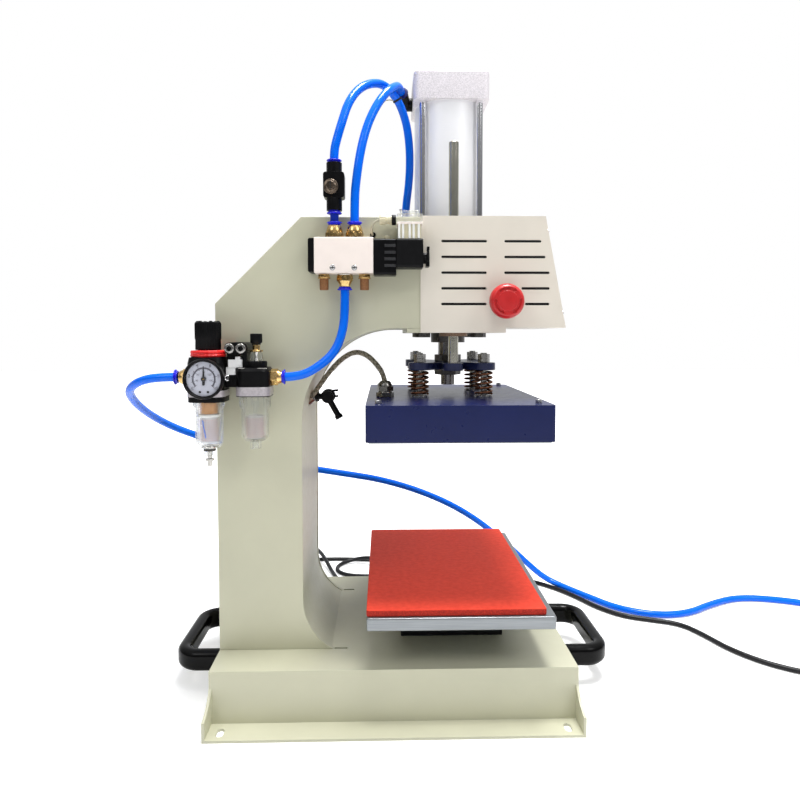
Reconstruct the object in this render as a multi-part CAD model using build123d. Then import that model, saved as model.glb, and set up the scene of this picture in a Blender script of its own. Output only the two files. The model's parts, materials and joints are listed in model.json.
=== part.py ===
from build123d import *
import math
import os

os.makedirs("parts", exist_ok=True)

# A bench heat press worked by an air cylinder. Millimetres, +Z up.
# The origin is on the floor under the middle of the base. +X runs from the column
# to the open end of the throat, and -Y is the side that carries the air valve.

# Clearances and fits
RUN_GAP = 0.05       # radial gap of a shaft in its bush
SEAT_GAP = 0.3       # gap between a moving piece and what it comes to rest near
HOLE_GAP = 0.3       # radial gap of a screw or bolt in its hole
PRESS_GAP = 0.02     # radial gap of a pushed-in hose, cord or bush

# Base: a folded sheet box with bolting flanges at the front and the back
BASE_W = 414.0
BASE_D = 284.0
BASE_H = 62.0
BASE_T = 3.0
FLANGE = 31.0
SLOT_X = 190.5
SLOT_L = 15.0
SLOT_W = 8.0
SLOT_OUT = 1.5         # from the flange's middle to the slots
GUSSET_LOW = 22.0
GUSSET_HIGH = 43.0
TAB_SLOT_L = 15.5
TAB_SLOT_W = 3.5

# C-frame: two side plates with an inner web and an outer skin between them
FRAME_W = 183.0
PLATE_T = 5.0
COLUMN_W = 99.0
FRAME_TOP = 571.9
CHAMFER = 100.0
THROAT_R = 110.0
THROAT_TOP = 443.0
FLARE_R = 67.5
FLARE_Z = 121.4
SKIN_T = 3.0
SKIN_RECESS = 1.0
SKIN_END_X = 0.0
WINDOW_X0 = 46.0
WINDOW_X1 = 168.0
WINDOW_Z0 = 458.0
WINDOW_Z1 = 558.0

# Head: the thick plate that carries the cylinder, and its vented sheet cover
AXIS_X = 72.0
HEAD_X0 = 15.3
HEAD_X1 = 131.0
HEAD_BOTTOM = 438.0
HEAD_T = 14.0
COVER_T = 1.5
COVER_X0 = 31.0
COVER_TOP_X1 = 176.9
COVER_LOW_X1 = 201.7
COVER_LOW_Z = 443.8
COVER_HOLE_X1 = 128.0
COVER_HOLE_Y = 76.0
VENT_W = 3.0
VENT_PITCH = 18.2
VENT_TOP_Z = 544.3
VENT_LEFT = (55.2, 108.4)
VENT_RIGHT = ((128.7, 172.0), (128.7, 177.0), (128.7, 182.0), (149.0, 182.2), (153.2, 182.0))

# Lower platen: black stand, aluminium plate and silicone mat
STAND_W = 126.0
STAND_D = 122.0
STAND_T = 6.0
PLATE_W = 210.0
PLATE_D = 308.0
PLATE_H = 15.0
PLATE_Z = 110.5
PLATE_OFF_X = 1.5     # from the cylinder's axis to the plate's middle
PLATE_CORNER_R = 3.0
PLATE_EDGE_R = 2.0
MAT_W = 200.0
MAT_D = 300.0
MAT_T = 7.5
MAT_EDGE_R = 3.0

# Heater: painted sheet cover over the heated aluminium platen
COVER_BOX_W = 208.0
COVER_BOX_D = 302.0
COVER_BOX_H = 40.5
COVER_BOX_T = 2.0
COVER_BOX_R = 3.0
HOLE_DEEP = 9.0        # how far a hole's cutter reaches below the cover's top
HOT_GAP = 1.0         # between the heated plate's edge and its cover's wall
HOT_PROUD = 1.5       # how far the heated plate shows below its cover
HOT_T = 18.0
HOT_CORNER_R = 2.0
ELEMENT_T = 3.0
ELEMENT_IN_X = 19.0   # from the plate's edge to the element's
ELEMENT_IN_Y = 11.0
WOOL_GAP = 3.0        # from the insulating board up to the cover
COVER_SCREW_IN_X = 14.0
COVER_SCREW_IN_Y = 22.0
STANDOFF_AF = 8.0
STANDOFF_NECK_R = 2.5
COVER_SCREW_R = 3.6
COVER_SCREW_H = 4.0

# Floating mount: four sprung bolts under the spider bracket
BOLT_R = 4.0
BOLT_X = 39.5
BOLT_Y = 52.0
BRACKET_T = 9.0
HANG = 45.5           # from the head plate down to the bracket
SPRING_SPACE = 33.5   # from the bracket down to the heater's cover
LOBE_R = 14.0
HUB_R = 30.0
NUT_AF = 13.0
NUT_H = 5.2
SPRING_R = 8.9
WIRE_R = 1.35
SPRING_TURNS = 6
WASHER_R = 11.0
WASHER_T = 2.2
FLOAT = 8.0

# Air cylinder of 80 mm bore
BORE_R = 40.0
BARREL_R = 43.5
CAP_W = 93.0
CAP_H = 34.0
CAP_CORNER = 8.0
CAP_EDGE_R = 2.5
CYL_TOP = 758.0
LOW_CAP_H = 32.0
TIE_OFFSET = 35.0
TIE_R = 4.5
TIE_TOP_GAP = 8.0
TIE_LOW_Z = 465.0
NOSE_R = 22.0
NOSE_LOW = 426.0
ROD_R = 12.5
STUD_R = 9.0
STUD_GAP = 4.0
ROD_NUT_AF = 30.0
ROD_NUT_H = 8.5
PISTON_T = 35.0
PISTON_TOP_GAP = 3.0
MOUNT_BOLT_R = 5.0
MOUNT_HEAD_AF = 17.0
MOUNT_HEAD_H = 5.5

# Guide rods and their bronze bushes
GUIDE_R = 6.0
GUIDE_Y = 68.0
GUIDE_TOP = 665.0
GUIDE_LOBE_R = 12.0
BUSH_R = 9.0
BUSH_TOP = 466.0
BUSH_FLANGE_R = 17.0
BUSH_FLANGE_T = 4.0

# Emergency stop on the near side of the head cover
STOP_X = 128.0
STOP_Z = 473.8
STOP_REACH = 29.7
STOP_R = 20.0
STOP_HEAD_T = 14.0
STOP_NECK_R = 11.0
STOP_STEM_R = 6.0
STOP_RING_R = 14.5
STOP_RING_T = 6.0
STOP_BLOCK = 30.0
STOP_BLOCK_L = 38.0
STOP_NECK_L = 4.0
STOP_BORE_L = 15.0
STOP_TRAVEL = 5.0
STOP_CROWN_T = 5.7
STOP_SKIRT_T = 3.0
STOP_EDGE_R = 4.0

# Controller in the slanted front of the head
PANEL_SIZE = 96.0
PANEL_PROUD = 6.0
PANEL_BODY = 88.0
PANEL_DEPTH = 40.0
PANEL_FACE_Z = 508.0
PANEL_SCREW_Y = 84.0
PANEL_SCREW_IN = 17.0
PANEL_SCREW_R = 3.2
PANEL_SCREW_H = 2.4
PANEL_EDGE = 1.5
PANEL_CUT = 18.0       # depth of the cut in the cover for the panel's body
PANEL_WINDOW_W = 78.0
PANEL_WINDOW_H = 46.0
PANEL_WINDOW_UP = 14.0
PANEL_WINDOW_DEEP = 1.0
KEY_COUNT = 4
KEY_PITCH = 20.0
KEY_DROP = 28.0
KEY_W = 13.0
KEY_D = 10.0
KEY_T = 1.2

# Carrying handles at both ends of the base
HANDLE_REACH = 64.0
HANDLE_L = 140.0
HANDLE_H = 26.0
HANDLE_Z = 36.0
HANDLE_BAR = 17.0
HANDLE_CORNER_R = 31.0
HANDLE_EDGE_R = 8.0
HANDLE_SCREW_R = 5.1
HANDLE_SCREW_H = 5.0

# Air valve, lying along X on the near side plate
PORT_Y = -105.0
VALVE_X0 = -89.7
VALVE_X1 = -23.3
VALVE_Z0 = 505.0
VALVE_Z1 = 545.0
VALVE_T = 27.0
VALVE_EDGE_R = 1.5
END_CAP_L = 7.0
END_CAP_R = 2.0
PILOT_L = 25.7
PILOT_DROP = 1.5      # how far the pilot's top is below the body's
PILOT_R = 3.0
COIL_L = 30.3
COIL_Z0 = 511.0
COIL_Z1 = 543.5
COIL_T = 27.0
COIL_NUT_R = 10.0
COIL_NUT_L = 7.4
COIL_NUT_Z = 522.7
PORT_A_X = -67.5
PORT_B_X = -44.6
PORT_P_X = -56.0
EXHAUST_X = (-79.6, -33.6)
FITTING_AF = 19.0
FITTING_H = 15.0
FITTING_HEX_PART = 0.55
FITTING_BORE_L = 6.0
COLLAR_R = 8.3
COLLAR_H = 3.6
SILENCER_R = 5.2
SILENCER_H = 13.5
SILENCER_AF = 12.5
SILENCER_NECK_H = 5.0
BUTTON_R = 3.0
BUTTON_X = -7.7
BUTTON_H = 5.0
BUTTON_SEAT = 5.0
BUTTON_TRAVEL = 3.0
PLUG_Z1 = 562.0
PLUG_TOP = 575.7
PLUG_IN = 1.4
LID_R = 2.0
VALVE_SCREW_UP = 5.6
VALVE_SCREW_R = 3.2
VALVE_SCREW_H = 0.8
LEAD_R = 1.2
LEAD_GROMMET_R = 3.2
LEAD_GROMMET_T = 1.5
LEAD_RISE = 4.0
LEAD_GLAND_L = 19.0
LEAD_GLAND_R = 4.9
LEAD_RING_L = 5.0
LEAD_OUT = 26.5
LEAD_DROP = 15.0

# Flow control in the line to the lower cylinder port
FLOW_BODY_W = 23.8
FLOW_BODY_D = 18.0
FLOW_Z0 = 589.5
FLOW_Z1 = 618.0
FLOW_NECK_R = 8.8
FLOW_EDGE_R = 3.0
FLOW_BORE_L = 9.0
FLOW_STEM_R = 3.0
FLOW_STEM_L = 5.0
FLOW_LOW_Z = 576.0
FLOW_HIGH_Z = 629.5
FLOW_KNOB_X = -70.6
FLOW_KNOB_Z = 601.0
FLOW_KNOB_R = 8.4
FLOW_KNOB_L = 10.0

# Elbow fittings at the two cylinder ports
ELBOW_R = 8.0
ELBOW_OUT = 10.3
PORT_LOW_Z = 468.0
ELBOW_REACH = 22.0
ELBOW_HALF = 7.5
ELBOW_BORE_L = 9.0

# Filter, regulator and lubricator on the near side of the column
UNIT_Y = -119.0
REG_X = -208.0
LUB_X = -156.5
UNIT_BODY = 40.0
LUB_BODY = 37.0
UNIT_LOW = 361.3
REG_TOP = 411.0
LUB_TOP = 399.5
RED_RING_R = 19.2
RED_RING_H = 7.6
REG_KNOB_R = 14.6
REG_KNOB_H = 31.5
REG_KNOB_EDGE = 2.0
REG_SKIRT_R = 13.6
REG_SKIRT_H = 12.0
REG_STEM_R = 6.0
REG_STEM_L = 6.0
BOWL_R = 17.3
BOWL_T = 2.4
BOWL_EDGE_R = 6.0
REG_BOWL_LOW = 309.0
LUB_BOWL_LOW = 317.0
DRAIN_R = 6.6
DRAIN_LOW = 300.0
DRAIN_PIN_R = 2.3
DRAIN_PIN_LOW = 288.0
DRAIN_TRAVEL = 3.0
DRAIN_PIN_IN = 5.0
DRAIN_RING_R = 4.6
DRAIN_RING_H = 2.5
ELEMENT_R = 10.0
ELEMENT_LOW = 345.0
ELEMENT_WALL = 3.0
BAFFLE_R = 12.5
BAFFLE_T = 2.0
GAUGE_X = -204.4
GAUGE_Z = 388.4
GAUGE_R = 21.8
GAUGE_FRONT = -157.0
GAUGE_DEPTH = 15.0
GAUGE_STEM_R = 6.0
BEZEL_W = 2.0
DIAL_IN = 5.0
LENS_IN = 0.4
LENS_T = 1.2
NEEDLE_L = 13.5
NEEDLE_T = 0.8
NEEDLE_OFF = 1.2
NEEDLE_HUB_R = 2.0
NEEDLE_TAIL = 6.5
NEEDLE_TAIL_W = 1.0     # half widths
NEEDLE_TIP_W = 0.25
DROP_X = -154.5
LUB_CAP_R = 11.6
LUB_CAP_H = 7.0
LUB_PLUG_H = 9.0
LUB_KNOB_R = 6.3
LUB_KNOB_H = 12.5
SIPHON_R = 2.0
DOME_R = 7.4
DOME_T = 2.0
DOME_H = 10.4
DROP_FLANGE_H = 2.0
DROP_STEM_R = 4.2
DROP_STEM_H = 7.5
DROP_SCREW_R = 2.0
UNIT_PORT_Z = 388.5
UNIT_FITTING_AF = 17.0
INLET_H = 14.0
OUTLET_H = 12.0
LONG_COLLAR_H = 5.0
BRACKET_X0 = -188.0
BRACKET_X1 = -162.0
BRACKET_FRONT = -131.0
BRACKET_LOW = 412.5
BRACKET_HIGH = 427.0
SPACER_D = 22.0
UNIT_EDGE_R = 5.0
SOCKET_IN = 6.75
SOCKET_R = 5.6
SOCKET_H = 4.5

# Hand valve on the inner web
TAP_Y = 25.0
TAP_X = -87.0
TAP_Z = 353.0
TAP_HUB_R = 9.5
TAP_HUB_W = 13.0
TAP_NECK_R = 5.0
TAP_ARM_L = 33.0
TAP_ARM_R = 4.0
TAP_TIP_R = 5.2
TAP_ARM_ANGLE = -61.0
TAP_NUT_AF = 12.0
TAP_NUT_L = 5.0
TAP_TIP_L = 5.0
TAP_HORN_L = 4.0
TAP_HORN_R = 1.4
TAP_HORN_LIFTS = (6.5, -1.5)

# Hoses and cords
HOSE_R = 5.0
CABLE_R = 3.0
CORD_R = 3.5
GLAND_X = -10.2
GLAND_Y = -47.0
GLAND_H = 20.0
GLAND_THREAD = 4.5
GLAND_THREAD_R = 6.0
GLAND_HEX_H = 6.0
GLAND_WAIST_H = 3.0
GLAND_BORE_Z = 14.6
GLAND_BORE_GAP = 0.8
GLAND_AF = 19.0
CABLE_HOLE_R = 7.2
CABLE_HOLE_L = 24.0    # far enough to leave the slanted web
CUT_SHORT = 2.0        # how far a cut starts before the face it goes through
CABLE_BORE_R = 4.4
GROMMET_FROM = 7.0
GROMMET_TO = 15.5
CORD_EXIT_X = 60.0
CORD_EXIT_Z = 32.0
CORD_GLAND_L = 24.0
CORD_GLAND_R = 8.0
CORD_GLAND_NUT = 6.0
CORD_GLAND_AF = 20.0
COIL_GAP = 0.9
COIL_TAIL_OUT = 2.6    # how far the last quarter turn swings out, in tube pitches
HOSE_COIL_R = 66.0
HOSE_COIL_TURNS = 1.75
CORD_COIL_R = 42.0
CORD_COIL_TURNS = 0.75
COUPLER_R = 9.5
COUPLER_L = 42.0
COUPLER_NECK = 10.0
COUPLER_BORE_R = 6.0
COUPLER_BORE_L = 18.0
CORD_PLUG_L = 46.0
CORD_PLUG_W = 32.0
CORD_PLUG_T = 15.0
CORD_BOOT_L = 16.0
PIN_X = 9.5
PIN_R = 2.4
PIN_L = 19.0

# The routes are chosen by hand from the photograph, one point for each corner.
HOSE_A_ROUTE = [
    (-67.5, -105, 631), (-67.5, -105, 643), (-64.4, -105, 656), (-58.5, -103.5, 676),
    (-52, -96, 699.6), (-41.2, -81, 720.9), (-26.4, -63, 734.9), (-10.3, -46, 739.7), (4.5, -34, 727.8),
    (12.7, -28.5, 712.7), (18.8, -24, 692.1), (21.8, -19, 662.5), (21, -13, 630.2),
    (16.1, -6, 593.7), (15.2, 0, 530), (15.2, 0, 482),
]
HOSE_B_ROUTE = [
    (-44.6, -105, 562), (-44.6, -105, 590), (-42.4, -105, 613.1), (-37.6, -103.5, 644.8),
    (-30.6, -98, 673.3), (-20.8, -89, 697.8), (-9.6, -77.5, 717.6), (0.1, -62.5, 730.4),
    (8, -38, 741.3), (11.24, -20.9, 736.7),
]
HOSE_P_ROUTE = [
    (-56, -105, 488), (-56, -105, 466), (-58, -109, 440), (-67, -113, 416), (-86, -117, 399),
    (-107, -119, 388.5), (-124, -119, 388.5),
]
CABLE_ROUTE = [
    (-116, -13.8, 346.5), (-104, -14.5, 357), (-94, -17, 371), (-81, -21, 389), (-66, -26, 405),
    (-49, -33, 415), (-33, -39.5, 411.5), (-19, -44.5, 397.5), (-11.2, -46.7, 384), (-10.2, -47, 374),
]
SUPPLY_ROUTE = [
    (-244, -119, 388.5), (-266, -119, 388.5), (-288.5, -111, 383.5), (-305.5, -93, 374.5),
    (-315.5, -69, 364), (-320, -28, 346), (-318, 20, 326), (-303, 60, 306), (-276, 96, 287),
    (-224, 126, 261), (-155, 150, 234), (-81, 170, 218), (-10, 184, 203), (64, 200, 175),
    (128, 220, 138), (186, 240, 90), (232, 254, 44), (266, 254, 14), (297, 232, 5.2),
    (324, 192, 5.2), (354, 147, 5.2), (404, 119, 5.2), (458, 124, 5.2), (510, 158, 5.2),
    (568, 184, 5.2), (632, 172, 5.2), (690, 142, 5.2), (738, 136, 5.2), (768, 136, 5.2),
]
POWER_ROUTE = [
    (60, 158, 32), (60, 182, 32), (58.5, 209, 19), (50, 242, 3.7), (26, 275, 3.7),
    (-12, 297, 3.7), (-46, 298, 3.7), (-78, 303, 3.7), (-99, 325, 3.7), (-98, 355, 3.7),
    (-77, 376, 6), (-47, 373, 12), (-26, 349, 17.7), (-15, 316, 17.7), (-3, 278, 17.7),
    (7, 242, 10), (-5, 208, 3.7), (-38, 192, 3.7), (-72, 202, 3.7), (-87, 235, 3.7),
    (-91, 276, 3.7), (-106, 318, 3.7), (-118, 350, 11), (-130, 377, 17.7), (-145, 412, 17.7),
    (-161, 448, 9), (-190, 471, 3.7), (-226, 474, 3.7), (-255, 450, 3.7), (-260, 414, 3.7),
    (-240, 386, 3.7), (-204, 378, 3.7), (-168, 385, 3.7), (-108, 391, 3.7), (-48, 385, 3.7),
    (12, 377, 3.7), (74, 366, 3.7), (132, 342, 3.7), (184, 312, 3.7), (232, 277, 3.7),
    (272, 244, 3.7), (302, 202, 3.7), (324, 156, 3.7), (354, 121, 3.7), (392, 106, 3.7),
    (430, 92, 3.7), (448, 56, 3.7), (462, 12, 3.7), (492, -30, 3.7), (536, -58, 3.7),
    (576, -65, 3.7), (603, -65, 3.7),
]


def block(x0, x1, y0, y1, z0, z1):
    return Pos((x0 + x1) / 2, (y0 + y1) / 2, (z0 + z1) / 2) * Box(x1 - x0, y1 - y0, z1 - z0)


def rod(start, end, radius):
    start, end = Vector(*start), Vector(*end)
    plane = Plane(origin=start, z_dir=end - start)
    low = (Align.CENTER, Align.CENTER, Align.MIN)
    return plane * Cylinder(radius, (end - start).length, align=low)


def pipe(start, end, outer, inner):
    return rod(start, end, outer) - rod(start, end, inner)


def hex_rod(start, end, across_flats, x_dir=None):
    start, end = Vector(*start), Vector(*end)
    plane = Plane(origin=start, z_dir=end - start, x_dir=x_dir)
    face = plane * RegularPolygon(across_flats / 2, 6, major_radius=False)
    return extrude(face, amount=(end - start).length, dir=end - start)


def hex_ring(start, end, across_flats, inner):
    return hex_rod(start, end, across_flats) - rod(start, end, inner)


def prism(points, y0, y1):
    """A flat outline in X and Z, carried along Y."""
    wire = Polyline(*[(x, y0, z) for x, z in points], close=True)
    return extrude(make_face(wire), amount=y1 - y0, dir=(0, 1, 0))


def keep(name, *solids):
    shapes = []
    for solid in solids:
        shapes.extend(solid.solids())
    export_step(Compound(children=shapes) if len(shapes) > 1 else shapes[0], f"parts/{name}.step")


def corner_radii(points):
    points = [Vector(*p) for p in points]
    radii = []
    for before, here, after in zip(points, points[1:], points[2:]):
        turn = math.radians((here - before).get_angle(after - here))
        shorter = min((here - before).length, (after - here).length)
        radii.append(0.45 * shorter / math.tan(turn / 2))
    return radii


def route_tube(name, points, radius):
    """A tube along straight runs joined by tangent arcs."""
    radii = corner_radii(points)
    path = FilletPolyline(*points, radius=radii)
    start = Vector(*points[0])
    plane = Plane(origin=start, z_dir=Vector(*points[1]) - start)
    tube = sweep(plane * Circle(radius), path=path)
    ratio = tube.volume / (math.pi * radius * radius * path.length)
    print(name, "length", round(path.length, 1), "volume ratio", round(ratio, 5),
          "least radius in diameters", round(min(radii) / radius / 2, 2))
    print(name, "radii", [round(r) for r in radii])
    return tube


def arc_middle(start, end, tangent):
    """The middle of the arc from start to end that leaves along tangent."""
    chord = end - start
    along = chord.normalized()
    side = tangent.normalized() - along * tangent.normalized().dot(along)
    if side.length < 1e-9:
        return start + chord / 2
    angle = math.radians(tangent.get_angle(chord))
    return start + chord / 2 + side.normalized() * (chord.length / 2 * math.tan(angle / 2))


def biarc_path(points, tangents):
    """Two tangent arcs between each pair of points."""
    edges = []
    for p0, p1, t0, t1 in zip(points, points[1:], tangents, tangents[1:]):
        t0, t1 = t0.normalized(), t1.normalized()
        chord = p1 - p0
        both = t0 + t1
        a = both.dot(both) - 4
        b = -2 * chord.dot(both)
        c = chord.dot(chord)
        reach = -c / b if abs(a) < 1e-9 else (-b - math.sqrt(b * b - 4 * a * c)) / (2 * a)
        middle = (p0 + t0 * reach + p1 - t1 * reach) / 2
        leave = p1 - t1 * reach - p0 - t0 * reach
        for start, end, tangent in ((p0, middle, t0), (middle, p1, leave)):
            edges.append(ThreePointArc(start, arc_middle(start, end, tangent), end))
    return edges


def least_gap(at, total, radius, apart):
    """The least distance between turns of a tube, measured on points."""
    count = int(total / (math.pi / 24))
    steps = [at(total * i / count) for i in range(count + 1)]
    skip = int(apart / (math.pi / 24))
    best = min((steps[i] - steps[j]).length for i in range(count + 1) for j in range(i + skip, count + 1))
    return best - 2 * radius


def spring(x, y, z0, z1):
    """One open-wound spring between two seats."""
    low, high = z0 + WIRE_R, z1 - WIRE_R
    rise = (high - low) / (2 * math.pi * SPRING_TURNS)

    def at(angle):
        return Vector(x + SPRING_R * math.cos(angle), y + SPRING_R * math.sin(angle), low + rise * angle)

    def slope(angle):
        return Vector(-SPRING_R * math.sin(angle), SPRING_R * math.cos(angle), rise)

    angles = [i * math.pi / 2 for i in range(4 * SPRING_TURNS + 1)]
    path = Wire(biarc_path([at(a) for a in angles], [slope(a) for a in angles]))
    plane = Plane(origin=at(0), z_dir=slope(0))
    print("spring gap", round(least_gap(at, angles[-1], WIRE_R, math.pi), 2))
    return sweep(plane * Circle(WIRE_R), path=path)


def smooth(part):
    part = min(max(part, 0), 1)
    return part * part * (3 - 2 * part)


def coil(name, start, heading, outer, turns, radius, end_z):
    """Loops that spiral in on the floor, climb a layer, spiral out and come down beside the first.

    The tube goes on from start along heading, with the middle of its loops to the left.
    """
    step = 2 * radius + COIL_GAP
    rate = step / (2 * math.pi)
    low = start.Z
    inward = 2 * math.pi * turns
    full = 2 * inward + math.pi
    tail = math.pi / 2
    total = full + tail

    def spiral(angle):
        if angle <= inward:
            return outer - rate * angle, low
        if angle >= full:
            part = (angle - full) / tail
            out = outer + COIL_TAIL_OUT * step * smooth(part)
            return out, low + step + (end_z - low - step) * smooth((part - 0.4) / 0.6)
        if angle >= inward + math.pi:
            return outer - rate * (full - angle), low + step
        part = (angle - inward) / math.pi
        return outer - rate * inward - rate * math.pi * part * (1 - part), low + step * smooth(part)

    def local(angle):
        r, z = spiral(angle)
        turn = angle - math.pi / 2
        return Vector(r * math.cos(turn), r * math.sin(turn), z)

    def local_slope(angle):
        small = 1e-4
        return (local(min(angle + small, total)) - local(max(angle - small, 0))).normalized()

    entry = local_slope(0)
    turn_by = math.atan2(heading.Y, heading.X) - math.atan2(entry.Y, entry.X)
    first = local(0).rotate(Axis.Z, math.degrees(turn_by))

    def at(angle):
        place = local(angle).rotate(Axis.Z, math.degrees(turn_by))
        return place + Vector(start.X - first.X, start.Y - first.Y, 0) + heading * (2 * radius)

    def slope(angle):
        return local_slope(angle).rotate(Axis.Z, math.degrees(turn_by))

    angles = [i * math.pi / 4 for i in range(int(round(total / (math.pi / 4))) + 1)]
    points, tangents = [at(a) for a in angles], [slope(a) for a in angles]
    end = points[-1] + tangents[-1] * 2 * radius
    path = Wire([Line(start, points[0])] + biarc_path(points, tangents) + [Line(points[-1], end)])
    tube = sweep(Plane(origin=start, z_dir=tangents[0]) * Circle(radius), path=path)
    print(name, "length", round(path.length, 1), "gap", round(least_gap(at, total, radius, math.pi), 2),
          "volume ratio", round(tube.volume / (math.pi * radius * radius * path.length), 5),
          "middle", round(at(0).X, 1), round(at(0).Y, 1), "end", end, "heading", tangents[-1])
    return tube, end, tangents[-1]


# Places that several pieces share
bracket_z = HEAD_BOTTOM - HANG
box_top = bracket_z - SPRING_SPACE
leg_y = (HANDLE_L - HANDLE_BAR) / 2
hot_z = box_top - COVER_BOX_H - HOT_PROUD
hot_top = hot_z + HOT_T
half_w, half_d = BASE_W / 2, BASE_D / 2
frame_y = FRAME_W / 2
inner_y = frame_y - PLATE_T
column_x = -half_w + COLUMN_W + 0.2
arc_x = column_x + THROAT_R
arc_z = THROAT_TOP - THROAT_R
flare_x = column_x + FLARE_R
plate_face = -frame_y
cover_face = -frame_y - COVER_T
cover_top = FRAME_TOP + COVER_T
front_slope = (COVER_LOW_X1 - COVER_TOP_X1) / (cover_top - COVER_LOW_Z)
slot_y = half_d + FLANGE / 2 + SLOT_OUT
plate_left = AXIS_X + PLATE_OFF_X - PLATE_W / 2


def cover_front_x(z):
    return COVER_TOP_X1 + (cover_top - z) * front_slope


def flare_foot(radius):
    return flare_x - math.sqrt(radius ** 2 - (FLARE_Z - BASE_H) ** 2)


def side_outline(y):
    """The edge of a side plate, from its foot round the throat and back."""
    step_z = COVER_LOW_Z + COVER_T
    front = cover_front_x(step_z) - 2 * COVER_T
    front_top = cover_front_x(FRAME_TOP) - 2 * COVER_T
    foot = (flare_foot(FLARE_R), y, BASE_H)
    low = (column_x, y, FLARE_Z)
    turn = math.radians(200)
    flare_mid = (flare_x + FLARE_R * math.cos(turn), y, FLARE_Z + FLARE_R * math.sin(turn))
    high = (column_x, y, arc_z)
    turn = math.radians(135)
    arc_mid = (arc_x + THROAT_R * math.cos(turn), y, arc_z + THROAT_R * math.sin(turn))
    end = (arc_x, y, THROAT_TOP)
    return [
        ThreePointArc(foot, flare_mid, low),
        Line(low, high),
        ThreePointArc(high, arc_mid, end),
        Polyline(end, (HEAD_X1, y, THROAT_TOP), (HEAD_X1, y, step_z), (front, y, step_z),
                 (front_top, y, FRAME_TOP), (-half_w + CHAMFER, y, FRAME_TOP),
                 (-half_w, y, FRAME_TOP - CHAMFER), (-half_w, y, BASE_H), foot),
    ]


def side_plate(y):
    face = make_face(side_outline(y))
    plate = extrude(face, amount=PLATE_T, dir=(0, 1, 0))
    window = block(WINDOW_X0, WINDOW_X1, y - 1, y + PLATE_T + 1, WINDOW_Z0, WINDOW_Z1)
    return plate - window


def base_end(x):
    """An end wall, whose foot reaches out over the flanges as a gusset."""
    reach = half_d + FLANGE
    points = [(x, -reach, 0), (x, reach, 0), (x, reach, GUSSET_LOW)]
    back = [(x, half_d, GUSSET_HIGH), (x, half_d, BASE_H), (x, -half_d, BASE_H), (x, -half_d, GUSSET_HIGH)]
    bend_y, bend_z = reach - 0.6 * FLANGE, (GUSSET_LOW + GUSSET_HIGH) / 2 - 3
    edges = [
        Polyline(*points),
        ThreePointArc(points[-1], (x, bend_y, bend_z), back[0]),
        Polyline(*back),
        ThreePointArc(back[-1], (x, -bend_y, bend_z), (x, -reach, GUSSET_LOW)),
        Line((x, -reach, GUSSET_LOW), points[0]),
    ]
    return extrude(make_face(edges), amount=BASE_T, dir=(1, 0, 0))


def base_shell():
    shell = block(-half_w, half_w, -half_d, half_d, BASE_H - BASE_T, BASE_H)
    for side in (-1, 1):
        y0, y1 = sorted((side * half_d, side * (half_d - BASE_T)))
        shell += block(-half_w, half_w, y0, y1, 0, BASE_H)
        y0, y1 = sorted((side * half_d, side * (half_d + FLANGE)))
        shell += block(-half_w, half_w, y0, y1, 0, BASE_T)
        for x in (-SLOT_X, SLOT_X):
            slot = Pos(x, side * slot_y, -1) * Rot(0, 0, 90) * SlotOverall(SLOT_L, SLOT_W)
            shell -= extrude(slot, amount=BASE_T + 2)
    shell += base_end(-half_w)
    shell += base_end(half_w - BASE_T)
    tab_x = flare_foot(FLARE_R) + 1
    for y in (-frame_y + TAB_SLOT_W / 2, frame_y - TAB_SLOT_W / 2):
        tab = Box(TAB_SLOT_L, TAB_SLOT_W, 3 * BASE_T)
        shell -= Pos(tab_x + TAB_SLOT_L / 2, y, BASE_H) * tab
    hole_start = (CORD_EXIT_X, half_d - 2 * BASE_T, CORD_EXIT_Z)
    hole_end = (CORD_EXIT_X, half_d + 1, CORD_EXIT_Z)
    return shell - rod(hole_start, hole_end, CORD_GLAND_R + HOLE_GAP)


def inner_web():
    """The strip that closes the C-frame along the throat, from the base to the head."""
    y0, width = -inner_y, 2 * inner_y
    near, far = SKIN_RECESS, SKIN_RECESS + SKIN_T
    edges = []
    ends = []
    for offset in (near, far):
        flare, arc = FLARE_R + offset, THROAT_R + offset
        foot = (flare_foot(flare), y0, BASE_H)
        low, high = (column_x - offset, y0, FLARE_Z), (column_x - offset, y0, arc_z)
        top = (arc_x, y0, THROAT_TOP + offset)
        end = (HEAD_X0, y0, THROAT_TOP + offset)
        turn = math.radians(200)
        flare_mid = (flare_x + flare * math.cos(turn), y0, FLARE_Z + flare * math.sin(turn))
        turn = math.radians(135)
        arc_mid = (arc_x + arc * math.cos(turn), y0, arc_z + arc * math.sin(turn))
        edges += [ThreePointArc(foot, flare_mid, low), Line(low, high), ThreePointArc(high, arc_mid, top),
                  Line(top, end)]
        ends.append((foot, end))
    edges += [Line(ends[0][0], ends[1][0]), Line(ends[0][1], ends[1][1])]
    web = extrude(make_face(edges), amount=width, dir=(0, 1, 0))
    start, way = cable_exit()
    cable_hole = rod(start - way * CUT_SHORT, start + way * CABLE_HOLE_L, CABLE_HOLE_R)
    tap_hole = rod((column_x - 9, TAP_Y, TAP_Z), (column_x + 9, TAP_Y, TAP_Z), TAP_NECK_R + HOLE_GAP)
    return web - cable_hole - tap_hole


def cable_exit():
    """Where the heater's cable starts inside the column, and the way that it leaves."""
    start = Vector(*CABLE_ROUTE[0])
    return start, (Vector(*CABLE_ROUTE[1]) - start).normalized()


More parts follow.
